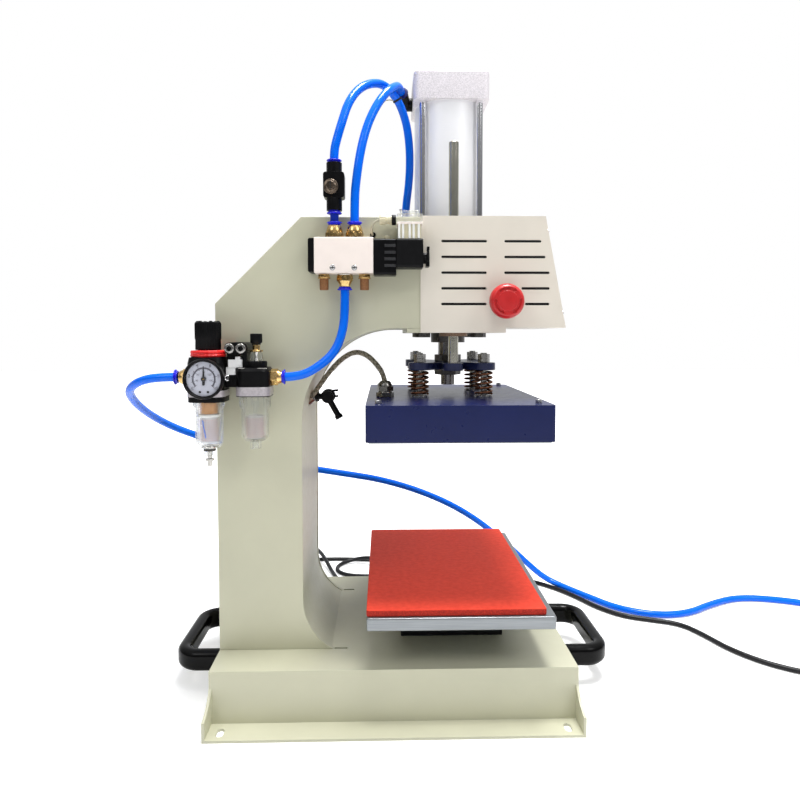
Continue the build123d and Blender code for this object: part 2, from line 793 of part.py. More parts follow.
def outer_skin():
    """The strip that closes the back of the column, the chamfer and the top."""
    slope = math.tan(math.radians(22.5))
    outline = []
    for offset in (SKIN_RECESS, SKIN_RECESS + SKIN_T):
        left, top = -half_w + offset, FRAME_TOP - offset
        corner_z = FRAME_TOP - CHAMFER - offset * slope
        corner_x = -half_w + CHAMFER + offset * slope
        line = [(left, BASE_H), (left, corner_z), (corner_x, top), (SKIN_END_X, top)]
        outline += line if not outline else line[::-1]
    return prism(outline, -inner_y, inner_y)


def head_plate():
    top = HEAD_BOTTOM + HEAD_T
    plate = block(HEAD_X0, HEAD_X1, -inner_y, inner_y, HEAD_BOTTOM, top)
    plate += block(HEAD_X0, HEAD_X1, -frame_y, frame_y, HEAD_BOTTOM, THROAT_TOP)
    plate -= rod((AXIS_X, 0, HEAD_BOTTOM - 1), (AXIS_X, 0, top + 1), NOSE_R + HOLE_GAP)
    for side in (-1, 1):
        y = side * GUIDE_Y
        plate -= rod((AXIS_X, y, HEAD_BOTTOM - 1), (AXIS_X, y, top + 1), BUSH_R + PRESS_GAP)
    for x, y in tie_places():
        plate -= rod((x, y, HEAD_BOTTOM - 1), (x, y, top + 1), MOUNT_BOLT_R + HOLE_GAP)
    return plate


def head_cover():
    low, high = COVER_LOW_Z, cover_top
    outer = [(COVER_X0, low), (COVER_X0, high), (COVER_TOP_X1, high), (COVER_LOW_X1, low)]
    t = COVER_T
    inner = [(COVER_X0 - 1, low + t), (COVER_X0 - 1, high - t), (cover_front_x(high - t) - t, high - t),
             (cover_front_x(low + t) - t, low + t)]
    shell = prism(outer, cover_face, -cover_face) - prism(inner, -frame_y, frame_y)
    shell -= block(COVER_X0 - 1, HEAD_X1 + HOLE_GAP, -frame_y, frame_y, low - 1, low + t + 1)
    for face in (cover_face, -cover_face - t):
        shell += block(COVER_X0, HEAD_X1, face, face + t, HEAD_BOTTOM, low + t)
    shell -= block(COVER_X0 - 1, COVER_HOLE_X1, -COVER_HOLE_Y, COVER_HOLE_Y, high - t - 1, high + 1)
    for row, (x0, x1) in enumerate(VENT_RIGHT):
        z = VENT_TOP_Z - row * VENT_PITCH
        for left, right in (VENT_LEFT, (x0, x1)):
            for y in (cover_face - 1, frame_y - 1):
                slot = Plane(origin=((left + right) / 2, y, z), z_dir=(0, 1, 0), x_dir=(1, 0, 0))
                shell -= extrude(slot * SlotOverall(right - left, VENT_W), amount=t + 2, dir=(0, 1, 0))
    shell -= rod((STOP_X, cover_face - 1, STOP_Z), (STOP_X, -frame_y + 1, STOP_Z), STOP_NECK_R + HOLE_GAP)
    body = PANEL_BODY + 2 * HOLE_GAP
    shell -= front_plane(0) * Box(body, body, PANEL_CUT)
    return shell


def front_plane(out):
    """A plane on the slanted front, moved outwards."""
    normal = Vector(1, 0, front_slope).normalized()
    origin = Vector(cover_front_x(PANEL_FACE_Z), 0, PANEL_FACE_Z) + normal * out
    return Plane(origin=origin, z_dir=normal, x_dir=(0, 1, 0))


def control_panel():
    lift = (Align.CENTER, Align.CENTER, Align.MIN)
    bezel = front_plane(0) * Box(PANEL_SIZE, PANEL_SIZE, PANEL_PROUD, align=lift)
    bezel = chamfer(bezel.faces().sort_by(Axis((0, 0, 0), front_plane(0).z_dir))[-1].edges(), PANEL_EDGE)
    window = Box(PANEL_WINDOW_W, PANEL_WINDOW_H, PANEL_PROUD, align=lift)
    recess = front_plane(PANEL_PROUD - PANEL_WINDOW_DEEP) * Pos(0, PANEL_WINDOW_UP, 0) * window
    body = front_plane(-PANEL_DEPTH) * Box(PANEL_BODY, PANEL_BODY, PANEL_DEPTH, align=lift)
    keys = []
    for column in range(KEY_COUNT):
        across = (column - (KEY_COUNT - 1) / 2) * KEY_PITCH
        place = front_plane(PANEL_PROUD) * Pos(across, -KEY_DROP, 0)
        keys.append(place * Box(KEY_W, KEY_D, KEY_T, align=lift))
    return [bezel + body - recess] + keys


def tie_places():
    return [(AXIS_X + i * TIE_OFFSET, j * TIE_OFFSET) for i in (-1, 1) for j in (-1, 1)]


def bolt_places():
    return [(AXIS_X + i * BOLT_X, j * BOLT_Y) for i in (-1, 1) for j in (-1, 1)]


def cover_screw_places():
    reach_x, reach_y = COVER_BOX_W / 2 - COVER_SCREW_IN_X, COVER_BOX_D / 2 - COVER_SCREW_IN_Y
    return [(AXIS_X + i * reach_x, j * reach_y) for i in (-1, 1) for j in (-1, 1)]


def cylinder_caps():
    half = CAP_W / 2
    top_low = CYL_TOP - CAP_H
    low_z = HEAD_BOTTOM + HEAD_T
    top = block(AXIS_X - half, AXIS_X + half, -half, half, top_low, CYL_TOP)
    low = block(AXIS_X - half, AXIS_X + half, -half, half, low_z, low_z + LOW_CAP_H)
    top = fillet(top.edges().filter_by(Axis.Z), CAP_CORNER)
    low = fillet(low.edges().filter_by(Axis.Z), CAP_CORNER)
    top = fillet(top.faces().sort_by(Axis.Z)[-1].edges(), CAP_EDGE_R)
    low += rod((AXIS_X, 0, NOSE_LOW), (AXIS_X, 0, low_z), NOSE_R)
    low -= rod((AXIS_X, 0, NOSE_LOW - 1), (AXIS_X, 0, low_z + LOW_CAP_H + 1), ROD_R + RUN_GAP)
    for x, y in tie_places():
        top -= rod((x, y, top_low - 1), (x, y, CYL_TOP - TIE_TOP_GAP), TIE_R + RUN_GAP)
        low -= rod((x, y, TIE_LOW_Z), (x, y, low_z + LOW_CAP_H + 1), TIE_R + RUN_GAP)
        low -= rod((x, y, low_z - 1), (x, y, TIE_LOW_Z), MOUNT_BOLT_R + RUN_GAP)
    return [top, low]


def cylinder_barrel():
    low, high = HEAD_BOTTOM + HEAD_T + LOW_CAP_H, CYL_TOP - CAP_H
    return pipe((AXIS_X, 0, low), (AXIS_X, 0, high), BARREL_R, BORE_R)


def tie_rods():
    return [rod((x, y, TIE_LOW_Z), (x, y, CYL_TOP - TIE_TOP_GAP), TIE_R) for x, y in tie_places()]


def mount_bolts():
    bolts = []
    for x, y in tie_places():
        head = hex_rod((x, y, HEAD_BOTTOM - MOUNT_HEAD_H), (x, y, HEAD_BOTTOM), MOUNT_HEAD_AF)
        bolts.append(head + rod((x, y, HEAD_BOTTOM), (x, y, TIE_LOW_Z), MOUNT_BOLT_R))
    return bolts


def guide_bushes():
    bushes = []
    for y in (-GUIDE_Y, GUIDE_Y):
        bush = rod((AXIS_X, y, HEAD_BOTTOM), (AXIS_X, y, BUSH_TOP), BUSH_R)
        bush += rod((AXIS_X, y, HEAD_BOTTOM - BUSH_FLANGE_T), (AXIS_X, y, HEAD_BOTTOM), BUSH_FLANGE_R)
        bore = rod((AXIS_X, y, HEAD_BOTTOM - 9), (AXIS_X, y, BUSH_TOP + 1), GUIDE_R + RUN_GAP)
        bushes.append(bush - bore)
    return bushes


def guide_rods():
    rods = []
    for y in (-GUIDE_Y, GUIDE_Y):
        shaft = rod((AXIS_X, y, bracket_z), (AXIS_X, y, GUIDE_TOP), GUIDE_R)
        rods.append(chamfer(shaft.faces().sort_by(Axis.Z)[-1].edges(), 1))
    return rods


def lobe_bar(ends, radius):
    """A bar with round ends between two points in plan."""
    start, end = Vector(*ends[0], bracket_z), Vector(*ends[1], bracket_z)
    span = end - start
    turn = math.degrees(math.atan2(span.Y, span.X))
    middle = (start + end) / 2
    place = Pos(middle.X, middle.Y, bracket_z) * Rot(0, 0, turn)
    return extrude(place * SlotCenterToCenter(span.length, 2 * radius), amount=BRACKET_T)


def spider_bracket():
    hub = rod((AXIS_X, 0, bracket_z), (AXIS_X, 0, bracket_z + BRACKET_T), HUB_R)
    plate = hub + lobe_bar(((AXIS_X, -GUIDE_Y), (AXIS_X, GUIDE_Y)), GUIDE_LOBE_R)
    plate += lobe_bar(((AXIS_X - BOLT_X, -BOLT_Y), (AXIS_X + BOLT_X, BOLT_Y)), LOBE_R)
    plate += lobe_bar(((AXIS_X - BOLT_X, BOLT_Y), (AXIS_X + BOLT_X, -BOLT_Y)), LOBE_R)
    for y in (-GUIDE_Y, GUIDE_Y):
        plate -= rod((AXIS_X, y, bracket_z - 1), (AXIS_X, y, bracket_z + BRACKET_T + 1), GUIDE_R + RUN_GAP)
    for x, y in bolt_places():
        plate -= rod((x, y, bracket_z - 1), (x, y, bracket_z + BRACKET_T + 1), BOLT_R + HOLE_GAP)
    stud_hole = rod((AXIS_X, 0, bracket_z - 1), (AXIS_X, 0, bracket_z + BRACKET_T + 1), STUD_R + RUN_GAP)
    return plate - stud_hole


def piston_rod():
    """The rod with its piston and the nuts that clamp the bracket."""
    bracket_top = bracket_z + BRACKET_T
    nut_top = bracket_top + ROD_NUT_H
    piston_high = CYL_TOP - CAP_H - PISTON_TOP_GAP
    piston_low = piston_high - PISTON_T
    stud_low = box_top + FLOAT + STUD_GAP
    shaft = rod((AXIS_X, 0, nut_top), (AXIS_X, 0, piston_low), ROD_R)
    shaft += rod((AXIS_X, 0, stud_low), (AXIS_X, 0, nut_top), STUD_R)
    shaft += rod((AXIS_X, 0, piston_low), (AXIS_X, 0, piston_high), STUD_R)
    piston = pipe((AXIS_X, 0, piston_low), (AXIS_X, 0, piston_high), BORE_R - RUN_GAP, STUD_R + RUN_GAP)
    upper = hex_ring((AXIS_X, 0, bracket_top), (AXIS_X, 0, nut_top), ROD_NUT_AF, STUD_R + RUN_GAP)
    nut_low = (AXIS_X, 0, bracket_z - ROD_NUT_H)
    lower = hex_ring(nut_low, (AXIS_X, 0, bracket_z), ROD_NUT_AF, STUD_R + RUN_GAP)
    return [shaft, piston, upper, lower]


def heater_cover():
    half_x, half_y = COVER_BOX_W / 2, COVER_BOX_D / 2
    t = COVER_BOX_T
    box = block(AXIS_X - half_x, AXIS_X + half_x, -half_y, half_y, box_top - COVER_BOX_H, box_top)
    box = fillet(box.edges().filter_by(Axis.Z), COVER_BOX_R)
    box -= block(AXIS_X - half_x + t, AXIS_X + half_x - t, -half_y + t, half_y - t, 0, box_top - t)
    low, high = box_top - HOLE_DEEP, box_top + 1
    for x, y in bolt_places() + cover_screw_places():
        box -= rod((x, y, low), (x, y, high), BOLT_R + HOLE_GAP)
    return box - rod((GLAND_X, GLAND_Y, low), (GLAND_X, GLAND_Y, high), GLAND_THREAD_R + HOLE_GAP)


def hot_half():
    """Half the heated plate's width and depth, inside its cover's walls."""
    around = COVER_BOX_T + HOT_GAP
    return COVER_BOX_W / 2 - around, COVER_BOX_D / 2 - around


def heater_platen():
    half_x, half_y = hot_half()
    plate = block(AXIS_X - half_x, AXIS_X + half_x, -half_y, half_y, hot_z, hot_top)
    plate = fillet(plate.edges().filter_by(Axis.Z), HOT_CORNER_R)
    for x, y in bolt_places():
        plate -= rod((x, y, hot_z + HOT_T / 2), (x, y, hot_top + 1), BOLT_R + RUN_GAP)
    return plate


def heater_element():
    """The flat element on the platen, and the insulating board over it."""
    half_x, half_y = hot_half()
    half_x, half_y = half_x - ELEMENT_IN_X, half_y - ELEMENT_IN_Y
    element_top = hot_top + ELEMENT_T
    layers = []
    for z0, z1 in ((hot_top, element_top), (element_top, box_top - COVER_BOX_T - WOOL_GAP)):
        layer = block(AXIS_X - half_x, AXIS_X + half_x, -half_y, half_y, z0, z1)
        for x, y in bolt_places():
            layer -= rod((x, y, z0 - 1), (x, y, z1 + 1), BOLT_R + HOLE_GAP)
        layers.append(layer)
    return layers


def heater_fasteners():
    """Spring bolts with washers and double nuts, and the cover's standoffs and screws."""
    pieces = []
    bracket_top = bracket_z + BRACKET_T
    for x, y in bolt_places():
        first = bracket_top + SEAT_GAP
        top = first + 2 * NUT_H + 1.2
        pieces.append(rod((x, y, hot_z + HOT_T / 2), (x, y, top), BOLT_R))
        washer_top = box_top + WASHER_T
        pieces.append(pipe((x, y, box_top), (x, y, washer_top), WASHER_R, BOLT_R + RUN_GAP))
        for count in range(2):
            z = first + count * NUT_H
            pieces.append(hex_ring((x, y, z), (x, y, z + NUT_H - 0.2), NUT_AF, BOLT_R + RUN_GAP))
    for x, y in cover_screw_places():
        low, high = hot_top, box_top - COVER_BOX_T
        post = hex_rod((x, y, low), (x, y, high), STANDOFF_AF)
        post += rod((x, y, high), (x, y, box_top), STANDOFF_NECK_R)
        pieces.append(post + rod((x, y, box_top), (x, y, box_top + COVER_SCREW_H), COVER_SCREW_R))
    return pieces


def cable_gland():
    x, y, z = GLAND_X, GLAND_Y, box_top
    waist_z = z + GLAND_HEX_H
    nut_z = waist_z + GLAND_WAIST_H
    nut_top = nut_z + GLAND_HEX_H
    gland = rod((x, y, z - GLAND_THREAD), (x, y, z), GLAND_THREAD_R)
    gland += hex_rod((x, y, z), (x, y, waist_z), GLAND_AF + 1)
    gland += rod((x, y, waist_z), (x, y, nut_z), GLAND_AF / 2 - 1)
    gland += hex_rod((x, y, nut_z), (x, y, nut_top), GLAND_AF)
    gland += rod((x, y, nut_top), (x, y, z + GLAND_H), GLAND_AF / 2 - 1)
    return gland - rod((x, y, z + GLAND_BORE_Z), (x, y, z + GLAND_H + 1), CABLE_R + GLAND_BORE_GAP)


def springs():
    low = box_top + WASHER_T + SEAT_GAP
    high = bracket_z - SEAT_GAP
    return [spring(x, y, low, high) for x, y in bolt_places()]


def platen_stand():
    half_x, half_y = STAND_W / 2, STAND_D / 2
    stand = block(AXIS_X - half_x, AXIS_X + half_x, -half_y, half_y, BASE_H, PLATE_Z)
    low, high = BASE_H + STAND_T, PLATE_Z - STAND_T
    t = STAND_T
    return stand - block(AXIS_X - half_x + t, AXIS_X + half_x - t, -half_y - 1, half_y + 1, low, high)


def lower_platen():
    plate = block(plate_left, plate_left + PLATE_W, -PLATE_D / 2, PLATE_D / 2, PLATE_Z, PLATE_Z + PLATE_H)
    plate = fillet(plate.edges().filter_by(Axis.Z), PLATE_CORNER_R)
    return fillet(plate.faces().sort_by(Axis.Z)[-1].edges(), PLATE_EDGE_R)


def silicone_mat():
    z = PLATE_Z + PLATE_H
    mat = block(plate_left, plate_left + MAT_W, -MAT_D / 2, MAT_D / 2, z, z + MAT_T)
    return fillet(mat.edges().filter_by(Axis.Z), MAT_EDGE_R)


def base_handles():
    """A rounded bar at each end, bent to a U with its legs square to the base."""
    handles = []
    for side in (-1, 1):
        wall = side * half_w
        out = wall + side * (HANDLE_REACH - HANDLE_BAR / 2)
        flat = ((wall, -leg_y), (out, -leg_y), (out, leg_y), (wall, leg_y))
        corners = [(x, y, HANDLE_Z) for x, y in flat]
        path = FilletPolyline(*corners, radius=HANDLE_CORNER_R - HANDLE_BAR / 2)
        foot = Plane(origin=corners[0], x_dir=(0, 1, 0), z_dir=(side, 0, 0))
        handles.append(sweep(foot * RectangleRounded(HANDLE_BAR, HANDLE_H, HANDLE_EDGE_R), path=path))
    return handles


def handle_screws():
    """Cap screws from inside the base into the handle legs."""
    screws = []
    for side in (-1, 1):
        for y in (-leg_y, leg_y):
            wall = side * (half_w - BASE_T)
            inner = wall - side * HANDLE_SCREW_H
            screws.append(rod((wall, y, HANDLE_Z), (inner, y, HANDLE_Z), HANDLE_SCREW_R))
    return screws


def stop_body():
    """The ring outside the cover, and the contact block behind it."""
    ring_front = cover_face - STOP_RING_T
    x, z = STOP_X, STOP_Z
    ring = rod((x, ring_front, z), (x, cover_face, z), STOP_RING_R)
    back = -frame_y + STOP_NECK_L
    neck = rod((x, cover_face, z), (x, back, z), STOP_NECK_R)
    half = STOP_BLOCK / 2
    box = block(x - half, x + half, back, back + STOP_BLOCK_L, z - half, z + half)
    bore = rod((x, ring_front - 1, z), (x, back + STOP_BORE_L, z), STOP_STEM_R + HOLE_GAP)
    return ring + neck + box - bore


def stop_stem():
    front = cover_face - STOP_REACH
    back = -frame_y + STOP_NECK_L + STOP_BORE_L - STOP_TRAVEL - 2
    return rod((STOP_X, front + STOP_CROWN_T + SEAT_GAP, STOP_Z), (STOP_X, back, STOP_Z), STOP_STEM_R)


def stop_button():
    """The mushroom head, hollow where it turns on its stem."""
    front = cover_face - STOP_REACH
    head = rod((STOP_X, front, STOP_Z), (STOP_X, front + STOP_HEAD_T, STOP_Z), STOP_R)
    head = fillet(head.faces().sort_by(Axis.Y)[0].edges(), STOP_EDGE_R)
    back = front + STOP_HEAD_T + STOP_SKIRT_T
    head += rod((STOP_X, front + STOP_HEAD_T, STOP_Z), (STOP_X, back, STOP_Z), STOP_RING_R)
    bore = rod((STOP_X, front + STOP_CROWN_T, STOP_Z), (STOP_X, back + 1, STOP_Z), STOP_STEM_R + RUN_GAP)
    return head - bore


def collar(start, direction, height=COLLAR_H):
    """A push-in release collar round a hose."""
    end = Vector(*start) + Vector(*direction).normalized() * height
    return pipe(start, end, COLLAR_R, HOSE_R + PRESS_GAP)


def hose_fitting(start, direction, height=FITTING_H, across=FITTING_AF):
    """A brass hexagon body, hollow for the hose end."""
    way = Vector(*direction).normalized()
    base = Vector(*start)
    end = base + way * height
    hex_end = base + way * height * FITTING_HEX_PART
    body = hex_rod(start, hex_end, across)
    body += rod(hex_end, end, across / 2 - 0.4)
    return body - rod(end - way * FITTING_BORE_L, end + way, HOSE_R + PRESS_GAP)


def brass_fittings():
    pieces = []
    for x in (PORT_A_X, PORT_B_X):
        pieces.append(hose_fitting((x, PORT_Y, VALVE_Z1), (0, 0, 1)))
    pieces.append(hose_fitting((PORT_P_X, PORT_Y, VALVE_Z0), (0, 0, -1)))
    for x in EXHAUST_X:
        neck_low = VALVE_Z0 - SILENCER_NECK_H
        neck = hex_rod((x, PORT_Y, neck_low), (x, PORT_Y, VALVE_Z0), SILENCER_AF)
        pieces.append(neck + rod((x, PORT_Y, neck_low - SILENCER_H), (x, PORT_Y, neck_low), SILENCER_R))
    inlet_x = REG_X - UNIT_BODY / 2
    pieces.append(hose_fitting((inlet_x, UNIT_Y, UNIT_PORT_Z), (-1, 0, 0), INLET_H, UNIT_FITTING_AF))
    outlet_x = LUB_X + LUB_BODY / 2
    pieces.append(hose_fitting((outlet_x, UNIT_Y, UNIT_PORT_Z), (1, 0, 0), OUTLET_H, UNIT_FITTING_AF))
    return pieces


def push_in_collars():
    inlet_x = REG_X - UNIT_BODY / 2 - INLET_H
    outlet_x = LUB_X + LUB_BODY / 2 + OUTLET_H
    _, tip, way = elbow_tip()
    return [
        collar((PORT_A_X, PORT_Y, VALVE_Z1 + FITTING_H), (0, 0, 1)),
        collar((PORT_B_X, PORT_Y, VALVE_Z1 + FITTING_H), (0, 0, 1)),
        collar((PORT_P_X, PORT_Y, VALVE_Z0 - FITTING_H), (0, 0, -1)),
        collar((PORT_A_X, PORT_Y, FLOW_LOW_Z), (0, 0, -1)),
        collar((PORT_A_X, PORT_Y, FLOW_HIGH_Z), (0, 0, 1)),
        collar((inlet_x, UNIT_Y, UNIT_PORT_Z), (-1, 0, 0)),
        collar((outlet_x, UNIT_Y, UNIT_PORT_Z), (1, 0, 0), LONG_COLLAR_H),
        collar((low_elbow_x(), 0, PORT_LOW_Z + ELBOW_REACH), (0, 0, 1)),
        collar(tip, way, LONG_COLLAR_H),
    ]


def low_elbow_x():
    return AXIS_X - CAP_W / 2 - ELBOW_OUT


def elbow_tip():
    """The upper elbow's corner, its end, and the way that its hose leaves."""
    end = Vector(*HOSE_B_ROUTE[-1])
    way = (Vector(*HOSE_B_ROUTE[-2]) - end).normalized()
    return end - way * ELBOW_REACH, end + way * 2, way


def flow_control():
    """The in-line flow control, and the black elbows at the cylinder's ports."""
    x = PORT_A_X
    half = FLOW_BODY_W / 2
    y0, y1 = PORT_Y - FLOW_BODY_D / 2, PORT_Y + FLOW_BODY_D / 2
    body = block(x - half, x + half, y0, y1, FLOW_Z0, FLOW_Z1)
    body = fillet(body.edges().filter_by(Axis.Y), FLOW_EDGE_R)
    body += rod((x, PORT_Y, FLOW_LOW_Z), (x, PORT_Y, FLOW_HIGH_Z), FLOW_NECK_R)
    mouths = (FLOW_LOW_Z - 1, FLOW_LOW_Z + FLOW_BORE_L), (FLOW_HIGH_Z - FLOW_BORE_L, FLOW_HIGH_Z + 1)
    for z0, z1 in mouths:
        body -= rod((x, PORT_Y, z0), (x, PORT_Y, z1), HOSE_R + PRESS_GAP)
    hole_end = (FLOW_KNOB_X, y0 + FLOW_STEM_L + 1, FLOW_KNOB_Z)
    knob_hole = rod((FLOW_KNOB_X, y0 - 1, FLOW_KNOB_Z), hole_end, FLOW_STEM_R + RUN_GAP)
    pieces = [body - knob_hole]
    face = AXIS_X - CAP_W / 2
    low_x = low_elbow_x()
    low = rod((low_x - ELBOW_HALF, 0, PORT_LOW_Z), (face, 0, PORT_LOW_Z), ELBOW_R)
    low += rod((low_x, 0, PORT_LOW_Z), (low_x, 0, PORT_LOW_Z + ELBOW_REACH), ELBOW_R)
    mouth = PORT_LOW_Z + ELBOW_REACH
    low -= rod((low_x, 0, mouth - ELBOW_BORE_L), (low_x, 0, mouth + 1), HOSE_R + PRESS_GAP)
    corner, tip, way = elbow_tip()
    high = rod(corner - Vector(ELBOW_HALF, 0, 0), (face, corner.Y, corner.Z), ELBOW_R)
    high += rod(corner - way * 3, tip, ELBOW_R)
    high -= rod(tip - way * ELBOW_BORE_L, tip + way, HOSE_R + PRESS_GAP)
    pieces += [low, high]
    return pieces


def flow_knob():
    front = PORT_Y - FLOW_BODY_D / 2
    knob = rod((FLOW_KNOB_X, front - SEAT_GAP - FLOW_KNOB_L, FLOW_KNOB_Z),
               (FLOW_KNOB_X, front - SEAT_GAP, FLOW_KNOB_Z), FLOW_KNOB_R)
    knob = chamfer(knob.faces().sort_by(Axis.Y)[0].edges(), 1)
    stem_end = (FLOW_KNOB_X, front + FLOW_STEM_L, FLOW_KNOB_Z)
    return knob + rod((FLOW_KNOB_X, front - 1, FLOW_KNOB_Z), stem_end, FLOW_STEM_R)


def valve_body():
    body = block(VALVE_X0, VALVE_X1, plate_face - VALVE_T, plate_face, VALVE_Z0, VALVE_Z1)
    return fillet(body.edges().filter_by(Axis.X), VALVE_EDGE_R)


def valve_end_caps():
    """The plain end cap and the pilot housing."""
    front, back = plate_face - VALVE_T, plate_face
    cap = block(VALVE_X0 - END_CAP_L, VALVE_X0, front + 1, back - 1, VALVE_Z0 + 1, VALVE_Z1 - 1)
    cap = fillet(cap.faces().sort_by(Axis.X)[0].edges(), END_CAP_R)
    x1 = VALVE_X1 + PILOT_L
    pilot_top = VALVE_Z1 - PILOT_DROP
    pilot = block(VALVE_X1, x1, plate_face - VALVE_T, plate_face, VALVE_Z0 - 2, pilot_top)
    pilot = fillet(pilot.edges().filter_by(Axis.X), PILOT_R)
    bore_low = pilot_top - BUTTON_SEAT - BUTTON_TRAVEL - 2
    bore = rod((BUTTON_X, PORT_Y, bore_low), (BUTTON_X, PORT_Y, pilot_top + 1), BUTTON_R + RUN_GAP)
    return [cap, pilot - bore]


def override_button():
    pilot_top = VALVE_Z1 - PILOT_DROP
    low = (BUTTON_X, PORT_Y, pilot_top - BUTTON_SEAT)
    stem = rod(low, (BUTTON_X, PORT_Y, pilot_top + BUTTON_H), BUTTON_R)
    return fillet(stem.faces().sort_by(Axis.Z)[-1].edges(), 0.4 * BUTTON_R)


def valve_coil():
    """The coil with its nut, the connector block, its clear lid, its gland and its lead."""
    x0 = VALVE_X1 + PILOT_L
    x1 = x0 + COIL_L
    y0, y1 = cover_face - SEAT_GAP - COIL_T, cover_face - SEAT_GAP
    winding = block(x0, x1, y0, y1, COIL_Z0, COIL_Z1)
    winding = fillet(winding.edges().filter_by(Axis.X), PILOT_R)
    nut = rod((x1, PORT_Y, COIL_NUT_Z), (x1 + COIL_NUT_L, PORT_Y, COIL_NUT_Z), COIL_NUT_R)
    base = block(x0 + PLUG_IN, x1 - PLUG_IN, y0 + 2, y1, COIL_Z1, PLUG_Z1)
    lid = block(x0, x1, y0 + 1, y1, PLUG_Z1, PLUG_TOP)
    lid = fillet(lid.faces().sort_by(Axis.Z)[-1].edges(), LID_R)
    z = PLUG_Z1 + LEAD_RISE
    ring_x = x0 - LEAD_RING_L
    ring = rod((ring_x, PORT_Y, z), (x0, PORT_Y, z), LEAD_GLAND_R + 0.6)
    gland = rod((x0 - LEAD_GLAND_L, PORT_Y, z), (ring_x, PORT_Y, z), LEAD_GLAND_R)
    lead_x = x0 - LEAD_OUT
    points = [(x0 - LEAD_GLAND_L, PORT_Y, z), (x0 - LEAD_GLAND_L - 5, PORT_Y, z),
              (lead_x - 1, PORT_Y + 2, z - 8), (lead_x, PORT_Y + 6, z - LEAD_DROP),
              (lead_x, plate_face, z - LEAD_DROP)]
    lead = route_tube("coil lead", points, LEAD_R)
    return [winding, nut, base, lid, ring, gland, lead]


def frl_bracket():
    """The bracket from the column plate, and the spacer that joins the two units."""
    bracket = block(BRACKET_X0, BRACKET_X1, BRACKET_FRONT, plate_face, BRACKET_LOW, BRACKET_HIGH)
    reg_face = REG_X + UNIT_BODY / 2
    lub_face = LUB_X - LUB_BODY / 2
    y0, y1 = UNIT_Y - SPACER_D / 2, UNIT_Y + SPACER_D / 2
    spacer = block(reg_face, lub_face, y0, y1, UNIT_PORT_Z - SPACER_D / 2, BRACKET_LOW)
    return [bracket, spacer]


def regulator_body():
    half = UNIT_BODY / 2
    body = block(REG_X - half, REG_X + half, UNIT_Y - half, UNIT_Y + half, UNIT_LOW, REG_TOP)
    body = fillet(body.edges().filter_by(Axis.Z), UNIT_EDGE_R)
    high = REG_TOP + RED_RING_H
    ring = rod((REG_X, UNIT_Y, REG_TOP), (REG_X, UNIT_Y, high), RED_RING_R)
    ring -= rod((REG_X, UNIT_Y, REG_TOP + 1), (REG_X, UNIT_Y, high + 1), REG_STEM_R + RUN_GAP)
    return [body, ring]


def regulator_knob():
    low = REG_TOP + RED_RING_H + SEAT_GAP
    knob = rod((REG_X, UNIT_Y, low + REG_SKIRT_H), (REG_X, UNIT_Y, low + REG_KNOB_H), REG_KNOB_R)
    knob = fillet(knob.faces().sort_by(Axis.Z)[-1].edges(), REG_KNOB_EDGE)
    knob += rod((REG_X, UNIT_Y, low), (REG_X, UNIT_Y, low + REG_SKIRT_H), REG_SKIRT_R)
    return knob + rod((REG_X, UNIT_Y, low - REG_STEM_L), (REG_X, UNIT_Y, low), REG_STEM_R)


def gauge_case():
    """The case with its dial, and the clear lens."""
    back = GAUGE_FRONT + GAUGE_DEPTH
    case = rod((GAUGE_X, GAUGE_FRONT, GAUGE_Z), (GAUGE_X, back, GAUGE_Z), GAUGE_R)
    dial = GAUGE_FRONT + DIAL_IN
    dial_r = GAUGE_R - BEZEL_W
    case -= rod((GAUGE_X, GAUGE_FRONT - 1, GAUGE_Z), (GAUGE_X, dial, GAUGE_Z), dial_r)
    face = UNIT_Y - UNIT_BODY / 2
    case += rod((GAUGE_X, back, GAUGE_Z), (GAUGE_X, face, GAUGE_Z), GAUGE_STEM_R)
    lens_y = GAUGE_FRONT + LENS_IN
    lens = rod((GAUGE_X, lens_y, GAUGE_Z), (GAUGE_X, lens_y + LENS_T, GAUGE_Z), dial_r)
    return [case, lens]


def gauge_needle():
    """The pointer with its counterweight and hub, just in front of the dial."""
    dial = GAUGE_FRONT + DIAL_IN
    y1 = dial - NEEDLE_OFF
    y0 = y1 - NEEDLE_T
    hub = rod((GAUGE_X, y0 - NEEDLE_T, GAUGE_Z), (GAUGE_X, dial - RUN_GAP, GAUGE_Z), NEEDLE_HUB_R)
    outline = [(-NEEDLE_TAIL_W, -NEEDLE_TAIL), (NEEDLE_TAIL_W, -NEEDLE_TAIL), (NEEDLE_TIP_W, NEEDLE_L),
               (-NEEDLE_TIP_W, NEEDLE_L)]
    return hub + prism([(GAUGE_X + x, GAUGE_Z + z) for x, z in outline], y0, y1)


def clear_bowl(x, low, drain):
    bowl = rod((x, UNIT_Y, low), (x, UNIT_Y, UNIT_LOW), BOWL_R)
    bowl = fillet(bowl.faces().sort_by(Axis.Z)[0].edges(), BOWL_EDGE_R)
    inside = rod((x, UNIT_Y, low + BOWL_T), (x, UNIT_Y, UNIT_LOW + 1), BOWL_R - BOWL_T)
    bowl -= inside
    if drain:
        bowl += rod((x, UNIT_Y, DRAIN_LOW), (x, UNIT_Y, low + BOWL_T), DRAIN_R)
        bowl -= rod((x, UNIT_Y, DRAIN_LOW - 1), (x, UNIT_Y, low + BOWL_T - 1), DRAIN_PIN_R + 2 * RUN_GAP)
    return bowl


def filter_element():
    start, end = (REG_X, UNIT_Y, ELEMENT_LOW), (REG_X, UNIT_Y, UNIT_LOW)
    element = pipe(start, end, ELEMENT_R, ELEMENT_R - ELEMENT_WALL)
    baffle = rod((REG_X, UNIT_Y, ELEMENT_LOW - BAFFLE_T), start, BAFFLE_R)
    return [element, baffle]


